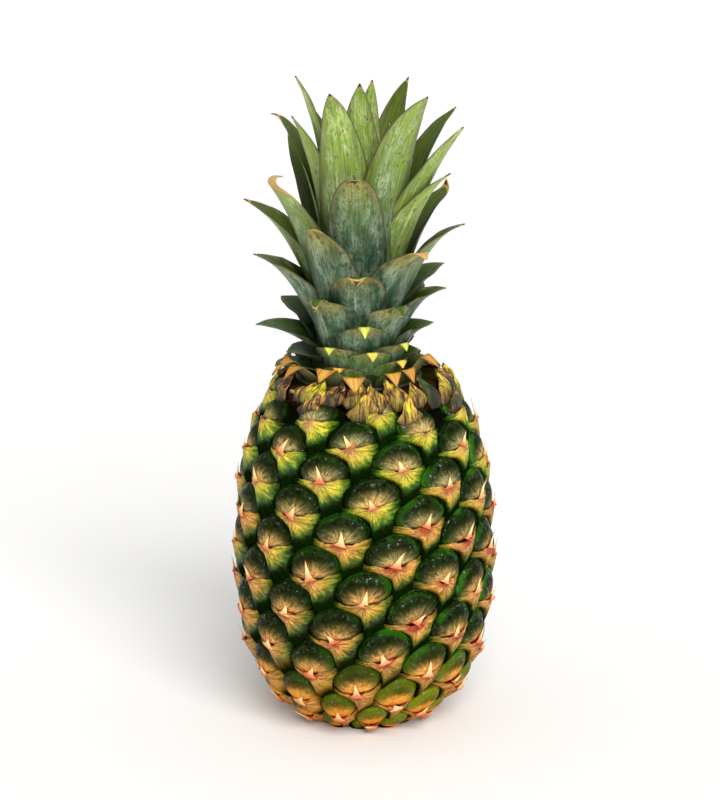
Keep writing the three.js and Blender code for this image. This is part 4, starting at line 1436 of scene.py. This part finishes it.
@dataclass
class Crown:
    """The leafy crown: a domed stem and its leaves on a spiral, numbered from the lowest."""

    stem_r: float = 21.0
    stem_height: float = 41.0
    stem_steps: tuple[int, int] = (12, 48)         # up the dome, and round it
    stem_top: tuple[float, float] = (0.98, 2.0)    # share of the height, and radius of the cap
    plug: tuple[float, float] = (13.0, 6.0)        # radius and depth in the deck
    leaves: int = 55
    first_turn: float = -24.0
    divergence: float = 136.0
    root: tuple[float, float, float] = (1.0, 39.0, 1.05)   # lowest, rise and its power
    length: tuple = ((0, 14), (0.1, 15), (0.25, 26), (0.4, 37), (0.5, 47), (0.6, 60), (0.7, 72),
                     (0.76, 87), (0.87, 89), (0.9, 102), (0.93, 102), (0.95, 75), (1, 81))
    front_length: tuple = ((0, 0), (0.2, 0.2), (0.4, 0.6), (0.55, 0.85), (0.65, 0.85),
                           (0.75, 0.3), (0.85, 0.1), (1, 0.05))
    lean: tuple = ((0, 52), (0.1, 49), (0.25, 42), (0.4, 32), (0.55, 23), (0.65, 20), (0.8, 13),
                   (0.93, 7), (1, 0))
    curl: tuple = ((0, 50), (0.25, 60), (0.4, 56), (0.6, 47), (0.8, 31), (1, 11))
    front_curl: float = 0.25
    width: tuple = ((0, 26), (0.15, 32), (0.5, 35), (0.75, 31), (1, 20))
    clasp: tuple = ((0, 0.9), (0.25, 0.7), (0.5, 0.55), (1, 0.55))
    dry: tuple[float, float] = (0.006, 0.012)      # least share of a tip, and spread
    hook_spread: float = 10.0
    hook_from: float = 0.85
    # leaves that go their own way: turn, length, lean, curl, width and sway, or the rule's
    own_names: tuple[str, ...] = ("turn", "length", "lean", "curl", "width", "sway")
    own_way: dict = field(default_factory=lambda: {
        0: (-20, 14, 30, 40), 2: (42, 17, 34, 45), 3: (None, 21, 60), 5: (12, 22, 32, 45),
        6: (None, 12), 7: (None, 13), 8: (-24, 21, 32, 45), 10: (44, 20, 32, 45),
        11: (None, 15, 56), 12: (None, 17, 54), 13: (5, 32, 30, 50), 14: (None, 34, 36),
        15: (None, 21, 34), 16: (-27, 43, 22, 60, 42), 18: (32, 36, 24, 54, 42),
        19: (None, 30, 58, 42), 21: (None, 58, 26), 23: (None, 34, 28),
        24: (-31, 66, 14, 45, None, 4), 26: (35, 61, 23), 27: (-86, 48, 27, 42, 40),
        28: (116, 40, 31, 52), 29: (0, 97, 13, 72), 31: (None, 60, 22, 46),
        32: (-58, 81, 15, 38), 34: (29, 122, 12), 35: (-96, 66, 22, None, 38),
        36: (None, None, 22), 37: (-10, 118, 12, 37), 38: (-140, 84, 17, 26),
        39: (62, 76, None, None, 38), 40: (None, 92, 4, 26), 42: (12, 109, 6, 25, None, -5),
        43: (None, 92, 7, 42), 44: (118, 95, 17, None, 34), 45: (-17, 95, 5, 23),
        47: (60, None, 24, 16, 34), 48: (None, 102, 5, 18), 49: (None, 103, 17, 32),
        50: (None, 102)})
    # degrees by which a tip folds over, and where along the leaf it starts
    hooks: dict = field(default_factory=lambda: {
        0: (110, 0.74), 1: (90, 0.76), 2: (95, 0.76), 4: (90, 0.76), 5: (110, 0.78),
        6: (82, 0.76), 7: (90, 0.76), 8: (105, 0.8), 9: (82, 0.76), 10: (95, 0.78),
        13: (100, 0.8), 16: (82, 0.82), 18: (85, 0.8), 21: (50, 0.88), 24: (45, 0.92),
        26: (50, 0.88), 29: (45, 0.93), 32: (-150, 0.88), 36: (-70, 0.9), 43: (50, 0.92)})
    dry_tips: dict = field(default_factory=lambda: {
        16: 0.03, 21: 0.035, 24: 0.035, 26: 0.05, 29: 0.02, 32: 0.1, 35: 0.03, 36: 0.04,
        43: 0.03, 45: 0.03})
    bleaches: float = 0.045                        # dried share past which a tip is pale
    root_sunk: float = 2.0
    root_tail: float = 4.0
    curl_power: float = 3.0
    widens: float = 1.5
    taper: tuple[float, float] = (2.3, 0.85)
    channel: tuple[float, float, float, float] = (14.0, 4.0, 1.2, 45.0)   # see blade_surface
    folds_flat: float = 0.75                       # of the opening that a folding leaf lacks
    folds_past: tuple[float, float] = (60.0, 80.0)  # hooks that make a leaf a folding one
    narrow: tuple[float, float, float] = (0.85, 2.0, 0.2)   # folding leaves: end, power, point
    shoulder: tuple[float, float] = (0.8, 0.16)    # their power, and length of the point
    thick: tuple[float, float] = (1.1, 0.6)        # blade at the root and at the tip
    thin_margin: float = 0.7                       # by which its margins are thinner
    # waves of the margins: height in mm, power of x, and radians a leaf
    waves: tuple[tuple[float, float, float], ...] = ((0.5, 2.0, 9.0), (0.16, 4.0, 31.0))
    tip_half: float = 0.2
    crowding: float = 1.35                         # of the rows towards the tip
    rows: int = 46
    columns: int = 17

    def measures(self) -> dict[str, Array]:
        """Measures of every leaf by its number, as columns that broadcast over a blade.

        Returns:
            The columns by the name of the measure.
        """
        number = np.arange(self.leaves)
        share = number / (self.leaves - 1)
        turn = wrap(self.first_turn - self.divergence * number)
        front = np.maximum(np.cos(np.radians(turn)), 0.0)
        low, rise, power = self.root
        every = {
            "turn": turn,
            "root": low + rise * share ** power,
            "length": curve(self.length, share) * (1 + front * curve(self.front_length, share)),
            "lean": curve(self.lean, share),
            "curl": curve(self.curl, share) * (1 + self.front_curl * front * (1 - share)),
            "width": curve(self.width, share),
            "clasp": curve(self.clasp, share),
            "sway": np.zeros(self.leaves),
            "power": np.full(self.leaves, self.curl_power),
            "share": share,
            "own": draw(number, 21),
            "dry": self.dry[0] + self.dry[1] * draw(number, 22) ** 2,
            "hook": self.hook_spread * draw(number, 32),
            "hook_from": np.full(self.leaves, self.hook_from),
        }
        for names, changes in ((self.own_names, self.own_way),
                               (("hook", "hook_from"), self.hooks)):
            for leaf, values in changes.items():
                for name, value in zip(names, values):
                    if value is not None:
                        every[name][leaf] = value
        every["dry"][list(self.dry_tips)] = list(self.dry_tips.values())
        return {name: value[:, None, None] for name, value in every.items()}

    def stem_radius(self, height: Array) -> Array:
        """Radius of the stem at a height above the deck: a quarter ellipse."""
        inside = np.maximum(1 - (height / self.stem_height) ** 2, 0.01)
        return self.stem_r * np.sqrt(inside)

    def half_width(self, leaf: dict[str, Array], grown: Array, folds: Array) -> Array:
        """Half the width of the blades along them.

        It widens from the root and tapers as (1 - t^p)^q. A leaf whose tip folds right over has
        round shoulders instead, (1 - (t / end)^p)^0.8, and a narrow point.

        Args:
            leaf: measures of the leaves.
            grown: places along, from 0.
            folds: 1 for a leaf that folds, 0 for another.

        Returns:
            Values that broadcast over the blades.
        """
        widened = np.minimum(1.0, leaf["clasp"] + self.widens * grown)
        plain = np.maximum(1 - grown ** self.taper[0], 0.0) ** self.taper[1]
        end, power, point = self.narrow
        body = np.maximum(1 - (grown / end) ** power, 0.0) ** self.shoulder[0]
        pointed = np.maximum(body, point * np.minimum((1 - grown) / self.shoulder[1], 1.0))
        tapered = plain + (pointed - plain) * folds
        return np.maximum(leaf["width"] / 2 * widened * tapered, self.tip_half)

    def build(self) -> bpy.types.Object:
        """Builds and dresses the crown.

        Returns:
            The new object, in the scene.
        """
        leaf = self.measures()
        share = 1 - (1 - np.linspace(0, 1, self.rows)) ** self.crowding
        tail = -self.root_tail / leaf["length"]
        t = tail + (1 - tail) * share[None, :, None]
        grown = np.maximum(t, 0.0)
        x = eased(self.columns)[None, None, :]
        folds = smooth(leaf["hook"], *self.folds_past)
        offset = x * self.half_width(leaf, grown, folds)
        root = (self.stem_radius(leaf["root"]) - self.root_sunk, DECK_Z + leaf["root"])
        first, grows, opens, past = self.channel
        arc = (first, grows, opens * (1 - self.folds_flat * folds), past)
        middle = blade_surface(leaf, root, t, offset, arc, leaf["sway"] * grown ** 2)
        middle = middle + self._waves(leaf, grown, x)
        thick = (self.thick[0] + (self.thick[1] - self.thick[0]) * grown) \
            * (1 - self.thin_margin * x ** 4)
        dry = leaf["dry"] * (1 + 0.6 * x ** 4)
        dried = 0.5 + (grown - 1 + dry) / (1.6 * dry)
        bend = leaf["hook_from"]
        mesh = SurfaceMesh()
        mesh.add_blades(middle, thick, DECK_Z + GAP, {
            "along": grown, "across": x, "across_mm": offset, "along_mm": t * leaf["length"],
            "rise": leaf["share"], "leaf_own": leaf["own"],
            "dried": np.clip(dried, -1.0, np.where(dry > self.bleaches, 0.4, 1.0)),
            "folded": smooth(leaf["hook"], 86, 94) * smooth(grown, bend - 0.03, bend + 0.03),
            "bent": smooth(leaf["hook"], 20, 45) * smooth(grown, bend - 0.42, bend + 0.04),
        })
        self._stem(mesh)
        return mesh.build("crown_leaves", LeafFinish(), Node.CROWN, Slot.LEAF)

    def _waves(self, leaf: dict[str, Array], grown: Array, x: Array) -> Array:
        """Waves of the margins, outward: 0.5 t x^2 sin(9 t + own), and a finer ruffle.

        Args:
            leaf: measures of the leaves.
            grown: places along, from 0.
            x: places across, from -1 to 1.

        Returns:
            Vectors that the blades are moved by.
        """
        own = leaf["own"]
        (size, power, waves), (ruffle, ruffle_power, ruffles) = self.waves
        wave = size * grown * x ** power * np.sin(
            waves * grown + PHASES * own + 1.5 * np.sign(x)) \
            + ruffle * x ** ruffle_power * np.sin(ruffles * grown + 9.0 * own + x)
        turn = np.radians(leaf["turn"])
        return np.stack([wave * np.sin(turn), -wave * np.cos(turn), 0 * wave], -1)

    def _stem(self, mesh: SurfaceMesh) -> None:
        """Adds the stem: plug in the deck, then the dome, as one turned profile.

        Args:
            mesh: where the stem goes.
        """
        low = DECK_Z + GAP
        height = np.linspace(0, self.stem_height * self.stem_top[0], self.stem_steps[0])
        r = np.concatenate([[self.plug[0]] * 2, self.stem_radius(height), [self.stem_top[1]]])
        z = np.concatenate([[DECK_Z - self.plug[1], low, low], DECK_Z + height[1:],
                            [DECK_Z + self.stem_height]])
        grid = turned(r, z, self.stem_steps[1], CROWN_X)
        mesh.add_sleeves(grid, {
            "along": 0.0, "across": 0.0, "across_mm": grid[..., 0], "along_mm": grid[..., 2],
            "inner": 1.0, "rise": 0.2, "leaf_own": 0.5, "dried": -1.0, "folded": 0.0, "bent": 0.0,
        })


# ---- collar and stalk ---------------------------------------------------------------------------


@dataclass
class Collar:
    """The thin ring on the deck and its short dry leaves, which fold over the shoulder."""

    ring: tuple[float, float, float] = (23.4, 28.0, 1.5)   # inner and outer radius, thickness
    ring_steps: int = 96
    bracts: int = 15
    start: tuple[float, float] = (25.5, 1.2)       # root: radius, and height above the deck
    spread: float = 0.6                            # of a bract's place, in places
    sway: float = 7.0                              # by which tips stray sideways
    length: tuple[float, float] = (15.0, 8.0)      # this and the next pairs: least and spread
    lean: tuple[float, float] = (20.0, 20.0)
    fold: tuple[float, float] = (25.0, 35.0)
    fold_power: float = 2.0
    hook: tuple[float, float] = (55.0, 55.0)
    hook_from: tuple[float, float] = (0.4, 0.16)
    half: tuple[float, float] = (6.0, 3.5)
    bend: float = 0.06                             # from where the hook starts to its bend
    body: tuple[float, float] = (2.2, 0.8)         # powers of the taper up to the bend
    point: tuple[float, float] = (0.62, 1.15)      # the point past it: width and power
    tip_half: float = 0.1
    arc: float = 18.0
    thick: float = 0.8
    rows: int = 26
    columns: int = 13

    def build(self) -> bpy.types.Object:
        """Builds and dresses the collar: bracts as folding blades, and the ring.

        Returns:
            The new object, in the scene.
        """
        number = np.arange(self.bracts)[:, None, None]
        length, lean, fold, hook, hook_from, root = (
            least + spread * draw(number, purpose) for (least, spread), purpose in (
                (self.length, 5), (self.lean, 33), (self.fold, 6), (self.hook, 34),
                (self.hook_from, 36), (self.half, 15)))
        place = number + self.spread * (draw(number, 4) - 0.5)
        bract = {"turn": place * 360 / self.bracts, "length": length, "lean": lean, "curl": fold,
                 "power": self.fold_power, "hook": hook, "hook_from": hook_from}
        t = np.linspace(0, 1, self.rows)[None, :, None]
        x = eased(self.columns)[None, None, :]
        bend = hook_from + self.bend
        body = np.maximum(1 - (t / (bend + self.bend)) ** self.body[0], 0.0) ** self.body[1]
        tip = np.minimum((1 - t) / (1 - bend), 1.0)
        offset = x * (root * np.maximum(body, self.point[0] * tip ** self.point[1])
                      + self.tip_half)
        start = (self.start[0], DECK_Z + self.start[1])
        sway = self.sway * (draw(number, 35) - 0.5) * t * t
        middle = blade_surface(bract, start, t, offset, (self.arc, 0.0, 0.0, 0.0), sway)
        mesh = SurfaceMesh()
        mesh.add_blades(middle, self.thick * (1 - 0.6 * x ** 4), 0.0, {
            "along": t, "across": x, "across_mm": offset, "leaf_own": draw(number, 23)})
        self._ring(mesh)
        return mesh.build("collar_bracts", DryBractFinish(), Node.COLLAR, Slot.DRY_BRACT)

    def _ring(self, mesh: SurfaceMesh) -> None:
        """Adds the ring: a small oblong section carried round, closed on itself.

        Args:
            mesh: where the ring goes.
        """
        inner, outer, thick = self.ring
        low = DECK_Z + GAP
        grid = turned(np.array([outer, outer, inner, inner, outer]),
                      np.array([low, low + thick, low + thick, low, low]),
                      self.ring_steps, CROWN_X)
        mesh.add_sleeves(grid, {"along": 0.08, "across": 0.0, "across_mm": grid[..., 0],
                                "leaf_own": 0.3, "inner": 0.0})


@dataclass
class CutStalk:
    """The short stub of the fruit's stalk in the base, cut flat."""

    r: float = 12.5
    height: float = 5.0
    rim: float = 0.6                               # by which its rims are cut back
    steps: int = 64

    def build(self) -> bpy.types.Object:
        """Builds and dresses the stub: a turned profile with a slightly rounded rim.

        Returns:
            The new object, in the scene.
        """
        r = np.array([self.r - self.rim, self.r, self.r, self.r - self.rim])
        z = np.array([0.0, self.rim, self.height - self.rim, self.height])
        mesh = SurfaceMesh()
        mesh.add_sleeves(turned(r, z, self.steps), {})
        return mesh.build("cut_stalk", CutStalkFinish(), Node.STALK, Slot.CUT_STALK)


# ---- studio -------------------------------------------------------------------------------------


@dataclass(frozen=True)
class Studio:
    """White floor, one broad soft sun with an even sky, and the camera. Metres and degrees."""

    floor_size: float = 40.0
    floor_color: str = "#f7f6f4"
    floor_rough: float = 0.9
    sun_strength: float = 3.1
    sun_breadth: float = 40.0
    sun_rise: float = 36.0
    sun_turn: float = 16.0                         # from the front towards +X
    sky: float = 0.56
    camera_distance: float = 1.2
    camera_rise: float = 18.0
    aim_z: float = 0.0765
    aim_x: float = -0.0002
    sensor: float = 36.0                           # mm across the longer side
    farthest: float = 100.0
    focal_px: float = 2650.0
    aim_row: float = 550.0
    frame_px: tuple[int, int] = (728, 800)

    def build(self) -> None:
        """Builds floor, light, sky and camera."""
        self._floor()
        light = bpy.data.lights.new("sun", "SUN")
        light.energy = self.sun_strength
        light.angle = math.radians(self.sun_breadth)
        lamp = bpy.data.objects.new("sun", light)
        lamp.rotation_euler = (math.radians(90 - self.sun_rise), 0, math.radians(self.sun_turn))
        bpy.context.scene.collection.objects.link(lamp)
        world = bpy.data.worlds.new("studio")
        world.use_nodes = True
        background = world.node_tree.nodes["Background"]
        background.inputs["Color"].default_value = (1.0, 1.0, 1.0, 1.0)
        background.inputs["Strength"].default_value = self.sky
        bpy.context.scene.world = world
        bpy.context.scene.view_settings.view_transform = "Standard"
        self._camera()

    def _floor(self) -> None:
        """A wide square floor of matt white paper at z = 0."""
        half = self.floor_size / 2
        mesh = bpy.data.meshes.new("floor")
        corners = [(-half, -half, 0), (half, -half, 0), (half, half, 0), (-half, half, 0)]
        mesh.from_pydata(corners, [], [(0, 1, 2, 3)])
        floor = bpy.data.objects.new("floor", mesh)
        bpy.context.scene.collection.objects.link(floor)
        material, add = new_material("matt_paper")
        shader = add(Kind.SURFACE, self.floor_color, self.floor_rough)
        add(Kind.OUTPUT, shader)
        mesh.materials.append(material)

    def _camera(self) -> None:
        """A camera on the line that rises from the aim, turned so that the aim is on its row."""
        data = bpy.data.cameras.new("camera")
        data.sensor_width = self.sensor
        data.lens = self.focal_px * self.sensor / max(self.frame_px)
        data.clip_end = self.farthest
        camera = bpy.data.objects.new("camera", data)
        rise = math.radians(self.camera_rise)
        above = math.atan((self.aim_row - self.frame_px[1] / 2) / self.focal_px)
        camera.location = (self.aim_x, -self.camera_distance * math.cos(rise),
                           self.aim_z + self.camera_distance * math.sin(rise))
        camera.rotation_euler = (math.pi / 2 - rise + above, 0, 0)
        bpy.context.scene.collection.objects.link(camera)
        bpy.context.scene.camera = camera


def main() -> None:
    """Builds the pineapple piece by piece and then the studio."""
    logging.basicConfig(level=logging.INFO, format="%(name)s: %(message)s")
    spiral, eye = EyeSpiral(), EyeShape()
    for part in (RindSkin(spiral, eye), EyeBracts(spiral, eye), EyeSpines(spiral),
                 ShoulderScales(spiral), Crown(), Collar(), CutStalk()):
        piece = part.build()
        mesh = piece.data
        LOG.info("%s: %d points, %d triangles", piece.name, len(mesh.vertices),
                 len(mesh.loops) - 2 * len(mesh.polygons))
    Studio().build()


if __name__ == "__main__":
    main()
